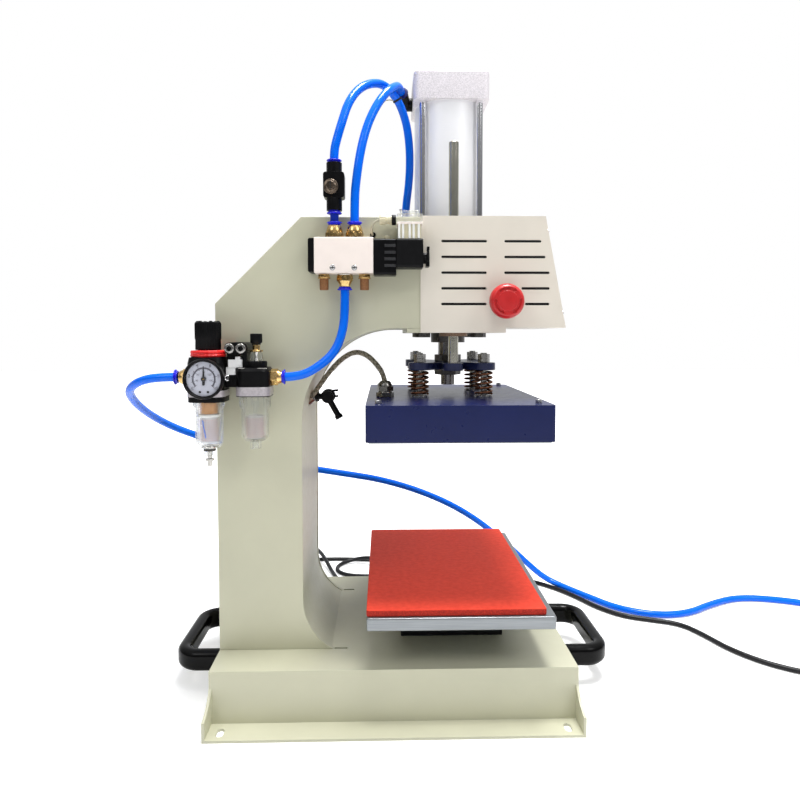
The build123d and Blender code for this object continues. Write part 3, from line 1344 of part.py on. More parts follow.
def drain_valve():
    pin = rod((REG_X, UNIT_Y, DRAIN_PIN_LOW), (REG_X, UNIT_Y, DRAIN_LOW + DRAIN_PIN_IN), DRAIN_PIN_R)
    ring_z = DRAIN_LOW - DRAIN_TRAVEL - SEAT_GAP
    return pin + rod((REG_X, UNIT_Y, ring_z - DRAIN_RING_H), (REG_X, UNIT_Y, ring_z), DRAIN_RING_R)


def lubricator_body():
    """The lubricator's head, its siphon tube and the brass stem of its sight dome."""
    half = LUB_BODY / 2
    body = block(LUB_X - half, LUB_X + half, UNIT_Y - half, UNIT_Y + half, UNIT_LOW, LUB_TOP)
    body = fillet(body.edges().filter_by(Axis.Z), UNIT_EDGE_R)
    cap = rod((DROP_X, UNIT_Y, LUB_TOP), (DROP_X, UNIT_Y, LUB_TOP + LUB_CAP_H), LUB_CAP_R)
    siphon = rod((LUB_X, UNIT_Y, LUB_BOWL_LOW + 2 * BOWL_T), (LUB_X, UNIT_Y, UNIT_LOW), SIPHON_R)
    stem_low = LUB_TOP + LUB_CAP_H + DOME_H
    flange_top = stem_low + DROP_FLANGE_H
    stem_top = stem_low + DROP_STEM_H
    stem = rod((DROP_X, UNIT_Y, stem_low), (DROP_X, UNIT_Y, flange_top), DOME_R)
    stem += rod((DROP_X, UNIT_Y, stem_low), (DROP_X, UNIT_Y, stem_top), DROP_STEM_R)
    stem -= rod((DROP_X, UNIT_Y, flange_top), (DROP_X, UNIT_Y, stem_top + 1), DROP_SCREW_R + RUN_GAP)
    return [body + cap, siphon, stem]


def lubricator_bowl():
    """The clear bowl with its filler plug, and the clear sight dome."""
    bowl = clear_bowl(LUB_X, LUB_BOWL_LOW, False)
    bowl += rod((LUB_X, UNIT_Y, LUB_BOWL_LOW - LUB_PLUG_H), (LUB_X, UNIT_Y, LUB_BOWL_LOW + BOWL_T), DRAIN_R)
    dome_low = LUB_TOP + LUB_CAP_H
    dome = pipe((DROP_X, UNIT_Y, dome_low), (DROP_X, UNIT_Y, dome_low + DOME_H), DOME_R, DOME_R - DOME_T)
    return [bowl, dome]


def lubricator_knob():
    low = LUB_TOP + LUB_CAP_H + DOME_H + DROP_STEM_H + SEAT_GAP
    knob = rod((DROP_X, UNIT_Y, low), (DROP_X, UNIT_Y, low + LUB_KNOB_H), LUB_KNOB_R)
    knob = chamfer(knob.faces().sort_by(Axis.Z)[-1].edges(), 1)
    screw_low = low - SEAT_GAP - DROP_STEM_H + DROP_FLANGE_H + 0.8
    return knob + rod((DROP_X, UNIT_Y, screw_low), (DROP_X, UNIT_Y, low), DROP_SCREW_R)


def wall_fittings():
    """The cable grommet, the hand valve's body and the power cord's gland."""
    start, way = cable_exit()
    grommet = pipe(start + way * GROMMET_FROM, start + way * GROMMET_TO, CABLE_HOLE_R - 0.1, CABLE_BORE_R)
    nut_x = column_x + 4
    nut_end = nut_x + TAP_NUT_L
    neck = rod((column_x - 5, TAP_Y, TAP_Z), (nut_x, TAP_Y, TAP_Z), TAP_NECK_R)
    neck += hex_rod((nut_x, TAP_Y, TAP_Z), (nut_end, TAP_Y, TAP_Z), TAP_NUT_AF)
    neck += rod((nut_end, TAP_Y, TAP_Z), (TAP_X - TAP_HUB_R + 1, TAP_Y, TAP_Z), TAP_NECK_R - 1)
    neck += rod((TAP_X, TAP_Y - 1, TAP_Z), (TAP_X, TAP_Y + TAP_HUB_W - 2, TAP_Z), TAP_HUB_R)
    horn_y = TAP_Y + TAP_HUB_W / 2 - 1.5
    horn_x = TAP_X + TAP_HUB_R + TAP_HORN_L
    for lift in TAP_HORN_LIFTS:
        horn_z = TAP_Z + lift
        neck += rod((TAP_X, horn_y, horn_z), (horn_x, horn_y, horn_z + 1.5), TAP_HORN_R)
    y = half_d
    nut_y = y + CORD_GLAND_NUT
    gland = rod((CORD_EXIT_X, y - CORD_GLAND_R, CORD_EXIT_Z), (CORD_EXIT_X, y, CORD_EXIT_Z), CORD_GLAND_R)
    gland += hex_rod((CORD_EXIT_X, y, CORD_EXIT_Z), (CORD_EXIT_X, nut_y, CORD_EXIT_Z), CORD_GLAND_AF)
    cone = Plane(origin=(CORD_EXIT_X, nut_y, CORD_EXIT_Z), z_dir=(0, 1, 0))
    low = (Align.CENTER, Align.CENTER, Align.MIN)
    gland += cone * Cone(CORD_GLAND_R, CORD_R + 1.5, CORD_GLAND_L - CORD_GLAND_NUT, align=low)
    mouth = y + CORD_GLAND_L
    bore_start = (CORD_EXIT_X, y + CORD_GLAND_L / 2, CORD_EXIT_Z)
    gland -= rod(bore_start, (CORD_EXIT_X, mouth + 1, CORD_EXIT_Z), CORD_R + PRESS_GAP)
    lead_x = VALVE_X1 + PILOT_L - LEAD_OUT
    lead_z = PLUG_Z1 + LEAD_RISE - LEAD_DROP
    lead_end = Vector(lead_x, plate_face, lead_z)
    small = pipe(lead_end - Vector(0, LEAD_GROMMET_T, 0), lead_end, LEAD_GROMMET_R, LEAD_R + RUN_GAP)
    return [grommet, neck, gland, small]


def tap_lever():
    """The hand valve's disc and arm, in front of its body."""
    y1 = TAP_Y - 1 - SEAT_GAP
    y0 = y1 - 2 * TAP_ARM_R - 0.4
    disc = rod((TAP_X, y0, TAP_Z), (TAP_X, y1, TAP_Z), TAP_HUB_R - 1.5)
    turn = math.radians(TAP_ARM_ANGLE)
    mid = (y0 + y1) / 2
    end = (TAP_X + TAP_ARM_L * math.cos(turn), mid, TAP_Z + TAP_ARM_L * math.sin(turn))
    tip = TAP_ARM_L - TAP_TIP_L
    near = (TAP_X + tip * math.cos(turn), mid, TAP_Z + tip * math.sin(turn))
    return disc + rod((TAP_X, mid, TAP_Z), end, TAP_ARM_R) + rod(near, end, TAP_TIP_R)


def frame_screws():
    screws = mount_bolts() + handle_screws()
    for x in (BRACKET_X0 + SOCKET_IN, BRACKET_X1 - SOCKET_IN):
        z = (BRACKET_LOW + BRACKET_HIGH) / 2 + 1
        screws.append(rod((x, BRACKET_FRONT - SOCKET_H, z), (x, BRACKET_FRONT, z), SOCKET_R))
    face = plate_face - VALVE_T
    z = VALVE_Z0 + VALVE_SCREW_UP
    for x in (PORT_A_X - 1.5, PORT_B_X):
        screws.append(rod((x, face - VALVE_SCREW_H, z), (x, face, z), VALVE_SCREW_R))
    for side in (-1, 1):
        for z in (COVER_LOW_Z + PANEL_SCREW_IN, cover_top - PANEL_SCREW_IN):
            foot = Vector(cover_front_x(z), side * PANEL_SCREW_Y, z)
            screws.append(rod(foot, foot + front_plane(0).z_dir * PANEL_SCREW_H, PANEL_SCREW_R))
    return screws



keep("base_shell", base_shell())
keep("side_plate_near", side_plate(-frame_y))
keep("side_plate_far", side_plate(frame_y - PLATE_T))
keep("inner_web", inner_web())
keep("outer_skin", outer_skin())
keep("head_plate", head_plate())
keep("head_cover", head_cover())
keep("control_panel", *control_panel())
keep("base_handles", *base_handles())
keep("platen_stand", platen_stand())
keep("lower_platen", lower_platen())
keep("silicone_mat", silicone_mat())
keep("cylinder_caps", *cylinder_caps())
keep("cylinder_barrel", cylinder_barrel())
keep("tie_rods", *tie_rods())
keep("guide_bushes", *guide_bushes())
keep("frame_screws", *frame_screws())
keep("stop_body", stop_body())
keep("valve_body", valve_body())
keep("valve_end_caps", *valve_end_caps())
keep("valve_coil", *valve_coil())
keep("brass_fittings", *brass_fittings())
keep("push_in_collars", *push_in_collars())
keep("flow_control", *flow_control())
keep("frl_bracket", *frl_bracket())
keep("regulator_body", *regulator_body())
keep("gauge_case", *gauge_case())
keep("filter_bowl", clear_bowl(REG_X, REG_BOWL_LOW, True))
keep("filter_element", *filter_element())
keep("lubricator_body", *lubricator_body())
keep("lubricator_bowl", *lubricator_bowl())
keep("wall_fittings", *wall_fittings())

keep("heater_cover", heater_cover())
keep("heater_platen", heater_platen())
keep("heater_element", *heater_element())
keep("heater_fasteners", *heater_fasteners())
keep("cable_gland", cable_gland())
keep("springs", *springs())

keep("spider_bracket", spider_bracket())
keep("piston_rod", *piston_rod())
keep("guide_rods", *guide_rods())

keep("stop_stem", stop_stem())
keep("stop_button", stop_button())
keep("regulator_knob", regulator_knob())
keep("gauge_needle", gauge_needle())
keep("lubricator_knob", lubricator_knob())
keep("flow_knob", flow_knob())
keep("override_button", override_button())
keep("drain_valve", drain_valve())
keep("tap_lever", tap_lever())

hose_low = (PORT_A_X, PORT_Y, VALVE_Z1 + FITTING_H - FITTING_BORE_L + 1)
short_hose = rod(hose_low, (PORT_A_X, PORT_Y, FLOW_LOW_Z + FLOW_BORE_L - 1), HOSE_R)
keep("hose_a", route_tube("hose a", HOSE_A_ROUTE, HOSE_R), short_hose)
keep("hose_b", route_tube("hose b", HOSE_B_ROUTE, HOSE_R))
keep("hose_p", route_tube("hose p", HOSE_P_ROUTE, HOSE_R))
keep("heater_cable", route_tube("heater cable", CABLE_ROUTE, CABLE_R))

def end_of(route):
    last, before = Vector(*route[-1]), Vector(*route[-2])
    return last, (last - before).normalized()


hose_coil, hose_end, hose_way = coil(
    "supply coil", *end_of(SUPPLY_ROUTE), HOSE_COIL_R, HOSE_COIL_TURNS, HOSE_R, COUPLER_R)
keep("supply_hose", route_tube("supply hose", SUPPLY_ROUTE, HOSE_R))
keep("supply_hose_coil", hose_coil)

cord_coil, cord_end, cord_way = coil(
    "power coil", *end_of(POWER_ROUTE), CORD_COIL_R, CORD_COIL_TURNS, CORD_R, CORD_PLUG_T / 2)
keep("power_cord", route_tube("power cord", POWER_ROUTE, CORD_R))
keep("power_cord_coil", cord_coil)


def hose_coupler():
    """A brass coupler whose sleeve rests on the floor."""
    neck = hose_end + hose_way * COUPLER_NECK
    tail = neck + hose_way * (COUPLER_L - COUPLER_NECK)
    body = rod(hose_end, neck, HOSE_R + 2) + rod(neck, tail, COUPLER_R)
    return body - rod(tail - hose_way * COUPLER_BORE_L, tail + hose_way, COUPLER_BORE_R)


def power_plug():
    """A moulded two-pin plug lying on the floor."""
    side = Vector(-cord_way.Y, cord_way.X, 0)
    flat = Plane(origin=cord_end, z_dir=cord_way, x_dir=side)
    lift = (Align.CENTER, Align.CENTER, Align.MIN)
    boot = flat * Cone(CORD_R + 0.8, CORD_R + 3.5, CORD_BOOT_L, align=lift)
    block_l = CORD_PLUG_L - CORD_BOOT_L
    body = flat * Pos(0, 0, CORD_BOOT_L) * Box(CORD_PLUG_W, CORD_PLUG_T, block_l, align=lift)
    long_edges = body.edges().filter_by(lambda e: abs(e.tangent_at(0.5).dot(cord_way)) > 0.99)
    body = fillet(long_edges, CORD_PLUG_T / 3)
    pins = [flat * Pos(x, 0, CORD_PLUG_L) * Cylinder(PIN_R, PIN_L, align=lift) for x in (-PIN_X, PIN_X)]
    return boot + body + pins[0] + pins[1]


keep("hose_coupler", hose_coupler())
keep("power_plug", power_plug())
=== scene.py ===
import json
import math
from math import atan2, cos, pi, radians, sin, sqrt

import bmesh
import bpy
from mathutils import Matrix, Vector

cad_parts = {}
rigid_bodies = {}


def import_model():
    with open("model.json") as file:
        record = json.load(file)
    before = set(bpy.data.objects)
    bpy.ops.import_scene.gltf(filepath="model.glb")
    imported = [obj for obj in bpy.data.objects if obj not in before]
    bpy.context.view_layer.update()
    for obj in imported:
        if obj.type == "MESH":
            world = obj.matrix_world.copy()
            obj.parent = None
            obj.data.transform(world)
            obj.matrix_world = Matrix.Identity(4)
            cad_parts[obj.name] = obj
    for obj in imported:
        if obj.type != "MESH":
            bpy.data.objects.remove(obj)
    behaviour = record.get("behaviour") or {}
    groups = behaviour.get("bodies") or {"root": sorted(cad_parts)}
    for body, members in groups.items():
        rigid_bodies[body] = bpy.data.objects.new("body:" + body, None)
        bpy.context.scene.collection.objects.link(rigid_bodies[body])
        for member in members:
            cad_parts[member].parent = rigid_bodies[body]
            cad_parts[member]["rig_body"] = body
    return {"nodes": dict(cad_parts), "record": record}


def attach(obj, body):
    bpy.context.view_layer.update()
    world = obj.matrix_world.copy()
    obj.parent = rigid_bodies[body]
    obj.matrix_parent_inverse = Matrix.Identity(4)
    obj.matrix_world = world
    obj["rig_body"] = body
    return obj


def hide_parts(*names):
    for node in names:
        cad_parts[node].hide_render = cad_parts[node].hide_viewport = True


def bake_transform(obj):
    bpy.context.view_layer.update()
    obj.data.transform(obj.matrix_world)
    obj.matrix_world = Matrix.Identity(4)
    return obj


# The looks of a bench heat press. Sizes and places are in millimetres, in the CAD's frame,
# and MM turns them into metres.
MM = 0.001

# Camera, fitted to the photograph
CAMERA_AT = (-11.709, -854.282, 435.200)
CAMERA_PITCH = -2.695
CAMERA_YAW = -1.462
CAMERA_ROLL = 0.036
CAMERA_LENS = 29.366
CAMERA_SENSOR = 36
CAMERA_SHIFT = (-0.0006, -0.0426)

# Radii of hoses and cords
HOSE_R = 5
CORD_R = 3.5

# Routes, chosen from the photograph
HOSE_A_ROUTE = [
    (-67.5, -105, 631), (-67.5, -105, 643), (-64.4, -105, 656), (-58.5, -103.5, 676),
    (-52, -96, 699.6), (-41.2, -81, 720.9), (-26.4, -63, 734.9), (-10.3, -46, 739.7), (4.5, -34, 727.8),
    (12.7, -28.5, 712.7), (18.8, -24, 692.1), (21.8, -19, 662.5), (21, -13, 630.2),
    (16.1, -6, 593.7), (15.2, 0, 530), (15.2, 0, 482),
]
HOSE_B_ROUTE = [
    (-44.6, -105, 562), (-44.6, -105, 590), (-42.4, -105, 613.1), (-37.6, -103.5, 644.8),
    (-30.6, -98, 673.3), (-20.8, -89, 697.8), (-9.6, -77.5, 717.6), (0.1, -62.5, 730.4),
    (8, -38, 741.3), (11.24, -20.9, 736.7),
]
HOSE_P_ROUTE = [
    (-56, -105, 488), (-56, -105, 466), (-58, -109, 440), (-67, -113, 416), (-86, -117, 399),
    (-107, -119, 388.5), (-124, -119, 388.5),
]
CABLE_ROUTE = [
    (-116, -13.8, 346.5), (-104, -14.5, 357), (-94, -17, 371), (-81, -21, 389), (-66, -26, 405),
    (-49, -33, 415), (-33, -39.5, 411.5), (-19, -44.5, 397.5), (-11.2, -46.7, 384), (-10.2, -47, 374),
]
SUPPLY_ROUTE = [
    (-244, -119, 388.5), (-266, -119, 388.5), (-288.5, -111, 383.5), (-305.5, -93, 374.5),
    (-315.5, -69, 364), (-320, -28, 346), (-318, 20, 326), (-303, 60, 306), (-276, 96, 287),
    (-224, 126, 261), (-155, 150, 234), (-81, 170, 218), (-10, 184, 203), (64, 200, 175),
    (128, 220, 138), (186, 240, 90), (232, 254, 44), (266, 254, 14), (297, 232, 5.2),
    (324, 192, 5.2), (354, 147, 5.2), (404, 119, 5.2), (458, 124, 5.2), (510, 158, 5.2),
    (568, 184, 5.2), (632, 172, 5.2), (690, 142, 5.2), (738, 136, 5.2), (768, 136, 5.2),
]
POWER_ROUTE = [
    (60, 158, 32), (60, 182, 32), (58.5, 209, 19), (50, 242, 3.7), (26, 275, 3.7),
    (-12, 297, 3.7), (-46, 298, 3.7), (-78, 303, 3.7), (-99, 325, 3.7), (-98, 355, 3.7),
    (-77, 376, 6), (-47, 373, 12), (-26, 349, 17.7), (-15, 316, 17.7), (-3, 278, 17.7),
    (7, 242, 10), (-5, 208, 3.7), (-38, 192, 3.7), (-72, 202, 3.7), (-87, 235, 3.7),
    (-91, 276, 3.7), (-106, 318, 3.7), (-118, 350, 11), (-130, 377, 17.7), (-145, 412, 17.7),
    (-161, 448, 9), (-190, 471, 3.7), (-226, 474, 3.7), (-255, 450, 3.7), (-260, 414, 3.7),
    (-240, 386, 3.7), (-204, 378, 3.7), (-168, 385, 3.7), (-108, 391, 3.7), (-48, 385, 3.7),
    (12, 377, 3.7), (74, 366, 3.7), (132, 342, 3.7), (184, 312, 3.7), (232, 277, 3.7),
    (272, 244, 3.7), (302, 202, 3.7), (324, 156, 3.7), (354, 121, 3.7), (392, 106, 3.7),
    (430, 92, 3.7), (448, 56, 3.7), (462, 12, 3.7), (492, -30, 3.7), (536, -58, 3.7),
    (576, -65, 3.7), (603, -65, 3.7),
]
COIL_GAP = 0.9
COIL_TAIL_OUT = 2.6
COIL_STEPS = 24
HOSE_COIL = dict(outer=66, turns=1.75, radius=HOSE_R, end_z=9.5)
CORD_COIL = dict(outer=42, turns=0.75, radius=CORD_R, end_z=7.5)

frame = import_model()
nodes = frame["nodes"]
slots = {row["node"]: row["material_slot"] for row in frame["record"]["subparts"]}
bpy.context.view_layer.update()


def linear(red, green, blue):
    """A colour read in a picture's own numbers, 0 to 255, as linear light."""
    shares = [value / 255 for value in (red, green, blue)]
    return tuple(s / 12.92 if s <= 0.04045 else ((s + 0.055) / 1.055) ** 2.4 for s in shares)


# Materials

# places of a colour mix's sockets, whose names it shares with its other kinds
MIX_FACTOR, MIX_FIRST, MIX_SECOND, MIX_RESULT = 0, 6, 7, 2


def put(name, data):
    """A new object of this data, in the scene."""
    obj = bpy.data.objects.new(name, data)
    bpy.context.scene.collection.objects.link(obj)
    return obj


def shade(colour, factor):
    return tuple(min(value * factor, 1) for value in colour)


class Tree:
    """The nodes of a material or of the world."""

    def __init__(self, owner):
        owner.use_nodes = True
        self.nodes = owner.node_tree.nodes
        self.link = owner.node_tree.links.new

    def feed(self, node, inputs):
        """Give a node's inputs, by name or place, a value or another node's output each."""
        for key, value in inputs.items():
            socket = node.inputs[key]
            if isinstance(value, bpy.types.NodeSocket):
                self.link(value, socket)
            else:
                socket.default_value = (*value, 1) if socket.type == "RGBA" else value
        return node.outputs

    def add(self, kind, inputs=None, **settings):
        """The outputs of a new node."""
        node = self.nodes.new("ShaderNode" + kind)
        for key, value in settings.items():
            setattr(node, key, value)
        return self.feed(node, inputs or {})

    def span(self, value, low, high, out_low=0, out_high=1):
        return self.add("MapRange", {"Value": value, "From Min": low, "From Max": high, "To Min": out_low,
            "To Max": out_high})["Result"]


class Finish(Tree):
    """A node material with colour, roughness and bump from noise over the object's own place."""

    def __init__(self, name, colour, rough, metal=0, **sockets):
        self.material = bpy.data.materials.new(name)
        super().__init__(self.material)
        self.material.diffuse_color = (*colour, 1)
        self.shader = self.nodes["Principled BSDF"]
        self.colour = colour
        self.rough = rough
        self.place = self.add("TexCoord")["Object"]
        self.feed(self.shader, {"Base Color": colour, "Roughness": rough, "Metallic": metal})
        self.feed(self.shader, {key.replace("_", " "): value for key, value in sockets.items()})

    def noise(self, size, detail=3, stretch=None):
        """Noise whose blotches are size millimetres wide, drawn out along an axis by stretch."""
        place = self.place
        if stretch:
            scale = [1 / value for value in stretch]
            place = self.add("Mapping", {"Vector": place, "Scale": scale})["Vector"]
        return self.add("TexNoise", {"Vector": place, "Scale": 1 / (size * MM), "Detail": detail})["Fac"]

    def mix(self, factor, first, second):
        """A colour between two, each a colour or another node's output."""
        inputs = {MIX_FACTOR: factor, MIX_FIRST: first, MIX_SECOND: second}
        return self.add("Mix", inputs, data_type="RGBA")[MIX_RESULT]

    def tint(self, size, amount, stretch=None):
        """Slow variation of the colour, lighter and darker by amount."""
        factor = self.span(self.noise(size, stretch=stretch), 0.3, 0.7)
        colour = self.mix(factor, shade(self.colour, 1 - amount), shade(self.colour, 1 + amount))
        self.feed(self.shader, {"Base Color": colour})

    def gloss(self, size, amount, stretch=None):
        low, high = max(self.rough - amount, 0.02), min(self.rough + amount, 1)
        result = self.span(self.noise(size, stretch=stretch), 0.3, 0.7, low, high)
        self.feed(self.shader, {"Roughness": result})

    def bump(self, size, depth, stretch=None):
        """Relief of depth millimetres from noise of size millimetres."""
        height = self.noise(size, stretch=stretch)
        normal = self.add("Bump", {"Strength": 1, "Distance": depth * MM, "Height": height})["Normal"]
        self.feed(self.shader, {"Normal": normal})


def finish(name, colour, rough, metal=0, tint=None, gloss=None, bump=None, spec=0.5, **sockets):
    """A material in one call: each of tint, gloss and bump is a tuple of that method's numbers."""
    made = Finish(name, colour, rough, metal, Specular_IOR_Level=spec, **sockets)
    if tint:
        made.tint(*tint)
    if gloss:
        made.gloss(*gloss)
    if bump:
        made.bump(*bump)
    return made.material


LONG_X = (40, 1, 1)
LONG_Z = (1, 1, 40)
FRAME_CREAM = linear(196, 195, 171)
COVER_CREAM = linear(221, 214, 201)
paint_frame = finish("frame_paint", FRAME_CREAM, 0.42, 0, (60, 0.03), (9, 0.06), (0.9, 0.035))
paint_cover = finish("cover_paint", COVER_CREAM, 0.42, 0, (50, 0.03), (9, 0.06), (0.9, 0.035))
paint_black = finish("black_paint", (0.01, 0.01, 0.011), 0.45, 0, (30, 0.15), None, (0.8, 0.03),
    spec=0.25)
paint_blue = finish("heater_enamel", linear(8, 22, 74), 0.3, 0, (40, 0.06), (12, 0.03), (6, 0.03),
    spec=0.35)
bracket_blue = finish("bracket_enamel", linear(30, 38, 76), 0.3, 0, (20, 0.1), (12, 0.05), (1.1, 0.03))
aluminium = finish("brushed_plate", linear(142, 146, 149), 0.34, 0.85, (1.2, 0.12, LONG_X), None,
    (0.5, 0.02, LONG_X))
cast = finish("cast_cap", linear(222, 217, 221), 0.55, 0.2, (0.9, 0.24), (1.3, 0.15), (0.8, 0.16))
tube_white = finish("anodised_tube", linear(248, 248, 250), 0.36, 0.15, (60, 0.02), None,
    (0.5, 0.01, LONG_Z))
chrome = finish("chrome", (0.84, 0.84, 0.86), 0.14, 1, None, (14, 0.05, LONG_Z), (2, 0.002, LONG_Z))
steel = finish("zinc_steel", (0.58, 0.58, 0.57), 0.26, 1, (3, 0.1), (5, 0.08), (0.6, 0.012))
dark_steel = finish("dark_steel", (0.1, 0.095, 0.09), 0.35, 0.9, (3, 0.25), (4, 0.1), (0.6, 0.02))
guide_steel = finish("guide_steel", (0.72, 0.7, 0.6), 0.22, 1, (14, 0.08), (20, 0.05, LONG_Z))
brass = finish("brass", (0.7, 0.47, 0.19), 0.24, 1, (3, 0.18), (4, 0.1), (0.9, 0.03))
bronze = finish("sintered_bronze", (0.3, 0.14, 0.06), 0.6, 0.6, (0.7, 0.45), None, (0.7, 0.16))
dark_bronze = finish("dark_bronze", (0.13, 0.1, 0.075), 0.3, 0.9, (2, 0.35), (3, 0.1), (0.8, 0.03))
nut_steel = finish("nut_steel", (0.42, 0.41, 0.39), 0.24, 0.95, (3, 0.15), (4, 0.06))
# chrome darkened to a painted shade, standing in for the shadow on the piston rod
shaded_rod_chrome = finish("shaded_rod_chrome", (0.24, 0.23, 0.22), 0.16, 1, (12, 0.08), (14, 0.05, LONG_Z))
bush_bronze = finish("bush_bronze", linear(142, 116, 96), 0.36, 0.6, (2, 0.2), (3, 0.08), (0.8, 0.02))
gland_nickel = finish("gland_nickel", (0.19, 0.185, 0.17), 0.22, 0.95, (2, 0.3), (3, 0.08))
rib_black = finish("rib_plastic", (0.022, 0.022, 0.024), 0.4, 0, (6, 0.1), None, (0.4, 0.01))
nickel = finish("nickel", (0.62, 0.6, 0.56), 0.2, 1, (5, 0.08), (4, 0.08), (0.8, 0.01))
black = finish("black_plastic", (0.003, 0.003, 0.0035), 0.36, 0, (8, 0.2), (6, 0.06), (0.5, 0.012),
    spec=0.14)
rubber_black = finish("handle_rubber", (0.002, 0.002, 0.002), 0.2, 0, (20, 0.2), (18, 0.05), (1.6, 0.02),
    spec=0.14)
cord_black = finish("cord_rubber", (0.006, 0.006, 0.007), 0.4, 0, (10, 0.2), (8, 0.06), (0.8, 0.02),
    spec=0.3)
hose_blue = finish("hose_blue", linear(0, 103, 232), 0.17, 0, (40, 0.05), (30, 0.04), spec=0.28)
hose_deep = finish("hose_deep", linear(14, 44, 150), 0.2, 0, (10, 0.1), (30, 0.04))
collar_blue = finish("collar_blue", linear(22, 24, 205), 0.25, 0, None, (4, 0.05), (0.7, 0.01))
collar_dark = finish("collar_dark", linear(16, 22, 92), 0.3, 0, None, (4, 0.05), (0.7, 0.01))
valve_cream = finish("valve_cream", linear(246, 234, 226), 0.38, 0, (15, 0.02), None, (0.4, 0.012))
coil_black = finish("coil_black", (0.005, 0.005, 0.0055), 0.42, 0, (6, 0.2), None, (0.4, 0.02), spec=0.14)
clip_cream = finish("clip_cream", linear(226, 218, 186), 0.3, 0, (8, 0.05), Transmission_Weight=0.25)
lead_grey = finish("lead_grey", linear(178, 174, 152), 0.45, 0, None, None, (0.8, 0.01))
clear = finish("clear_plastic", (0.93, 0.95, 0.96), 0.05, 0, None, (6, 0.03), Transmission_Weight=0.94,
    IOR=1.2, Alpha=0.42)
white_plastic = finish("white_plastic", linear(232, 232, 228), 0.4, 0, (6, 0.03), None, (0.5, 0.01))
red_plastic = finish("stop_red", linear(188, 32, 34), 0.36, 0, (9, 0.06), (7, 0.07), (0.7, 0.012))
red_ring = finish("ring_red", linear(240, 36, 38), 0.4, 0, None, (3, 0.06), (0.5, 0.01))
copper = finish("spring_copper", (0.2, 0.085, 0.045), 0.34, 0.85, (2.2, 0.4), (2, 0.12), (0.5, 0.03))
lens = finish("gauge_lens", (0.95, 0.96, 0.97), 0.04, 0, None, (9, 0.02), Transmission_Weight=1, IOR=1.1,
    Alpha=0.12)
dial_band = finish("dial_band", linear(96, 94, 104), 0.5, 0, (3, 0.1))
cup_white = finish("cup_white", linear(240, 238, 236), 0.3, 0, (4, 0.04), Transmission_Weight=0.35,
    Alpha=0.36)
rose = finish("cup_print", linear(150, 84, 84), 0.5, 0, (3, 0.15))
filter_bronze = finish("filter_bronze", linear(206, 152, 98), 0.6, 0.15, (0.8, 0.25), None, (0.8, 0.12))
band_silver = finish("band_silver", linear(198, 192, 196), 0.3, 0.6, (2.5, 0.12), None, (0.6, 0.02))
spacer_white = finish("spacer_white", linear(252, 252, 252), 0.45, 0, (6, 0.03), None, (0.5, 0.01))
wool = finish("insulation", (0.75, 0.73, 0.66), 0.9, 0, (3, 0.1), None, (1.2, 0.3))
dial_grey = finish("dial", linear(196, 198, 210), 0.5, 0, (6, 0.03), None, (0.5, 0.004))
ink = finish("dial_ink", (0.02, 0.02, 0.022), 0.5, 0, (2, 0.2))
# near-black for painted shade in screw slots, hex sockets, the gap under the regulator's ring and behind
# the vents, and the real black of the hose's cable tie
shade_and_tie_black = finish("shade_and_tie_black", (0.006, 0.006, 0.006), 0.8, 0, (8, 0.3))
display = finish("display", (0.01, 0.004, 0.004), 0.08, 0, None, (10, 0.03))
digit_red = finish("digit_red", (0.8, 0.03, 0.02), 0.4, 0, (3, 0.1), Emission_Color=(1, 0.05, 0.03),
    Emission_Strength=0.6)
key_grey = finish("key_grey", (0.18, 0.18, 0.19), 0.5, 0, (3, 0.1), None, (0.5, 0.01))


def mat_foam():
    """Foamed silicone: a matt deep orange-red with fine pores; its cut edges get a painted shade, a
    darker red chosen by facing, with real pore specks.
    """
    made = Finish("red_silicone", linear(233, 74, 52), 0.62, Specular_IOR_Level=0.2)
    normal = made.add("SeparateXYZ", {"Vector": made.add("NewGeometry")["Normal"]})
    # 1 where the face looks up and gets the top colour, 0 at the sides, which get painted shade
    facing_shade_mask = made.span(normal["Z"], 0.2, 0.8)
    mottle = made.span(made.noise(6, 5), 0.3, 0.7)
    top = made.mix(mottle, linear(228, 62, 40), linear(242, 76, 52))
    specks = made.span(made.noise(0.9, 2), 0.42, 0.62)
    # side colour: painted shade for the cut edges, darker than the top by facing, with real pore specks
    # in it
    side = made.mix(specks, linear(146, 32, 22), linear(196, 52, 36))
    made.feed(made.shader, {"Base Color": made.mix(facing_shade_mask, side, top)})
    made.bump(0.8, 0.12)
    return made.material


red_foam = mat_foam()
braid = finish("glass_braid", linear(104, 98, 84), 0.6, 0, (1.4, 0.35), None, (0.35, 0.05))
braid_light = finish("glass_braid_light", linear(168, 160, 142), 0.55, 0, (1.2, 0.3), None, (0.35, 0.05))


# Mesh tools

def mesh_of(obj):
    """The mesh that a curve or a text makes. The object is dropped."""
    bpy.context.view_layer.update()
    mesh = bpy.data.meshes.new_from_object(obj)
    curve = obj.data
    bpy.data.objects.remove(obj)
    bpy.data.curves.remove(curve)
    return mesh


def turn_to(way):
    """A rotation that carries +Z to way, and +Y to the highest direction left."""
    way = Vector(way).normalized()
    high = Vector((0, 1, 0)) if abs(way.z) > 0.9 else Vector((0, 0, 1))
    side = high.cross(way).normalized()
    return Matrix((side, way.cross(side), way)).transposed().to_4x4()


def frames_along(points):
    """Each point of a line, with two directions across it that don't twist."""
    side = None
    for i, point in enumerate(points):
        way = (points[min(i + 1, len(points) - 1)] - points[max(i - 1, 0)]).normalized()
        if side is None:
            side = way.orthogonal().normalized()
        side = (side - way * side.dot(way)).normalized()
        yield point, side, way.cross(side)


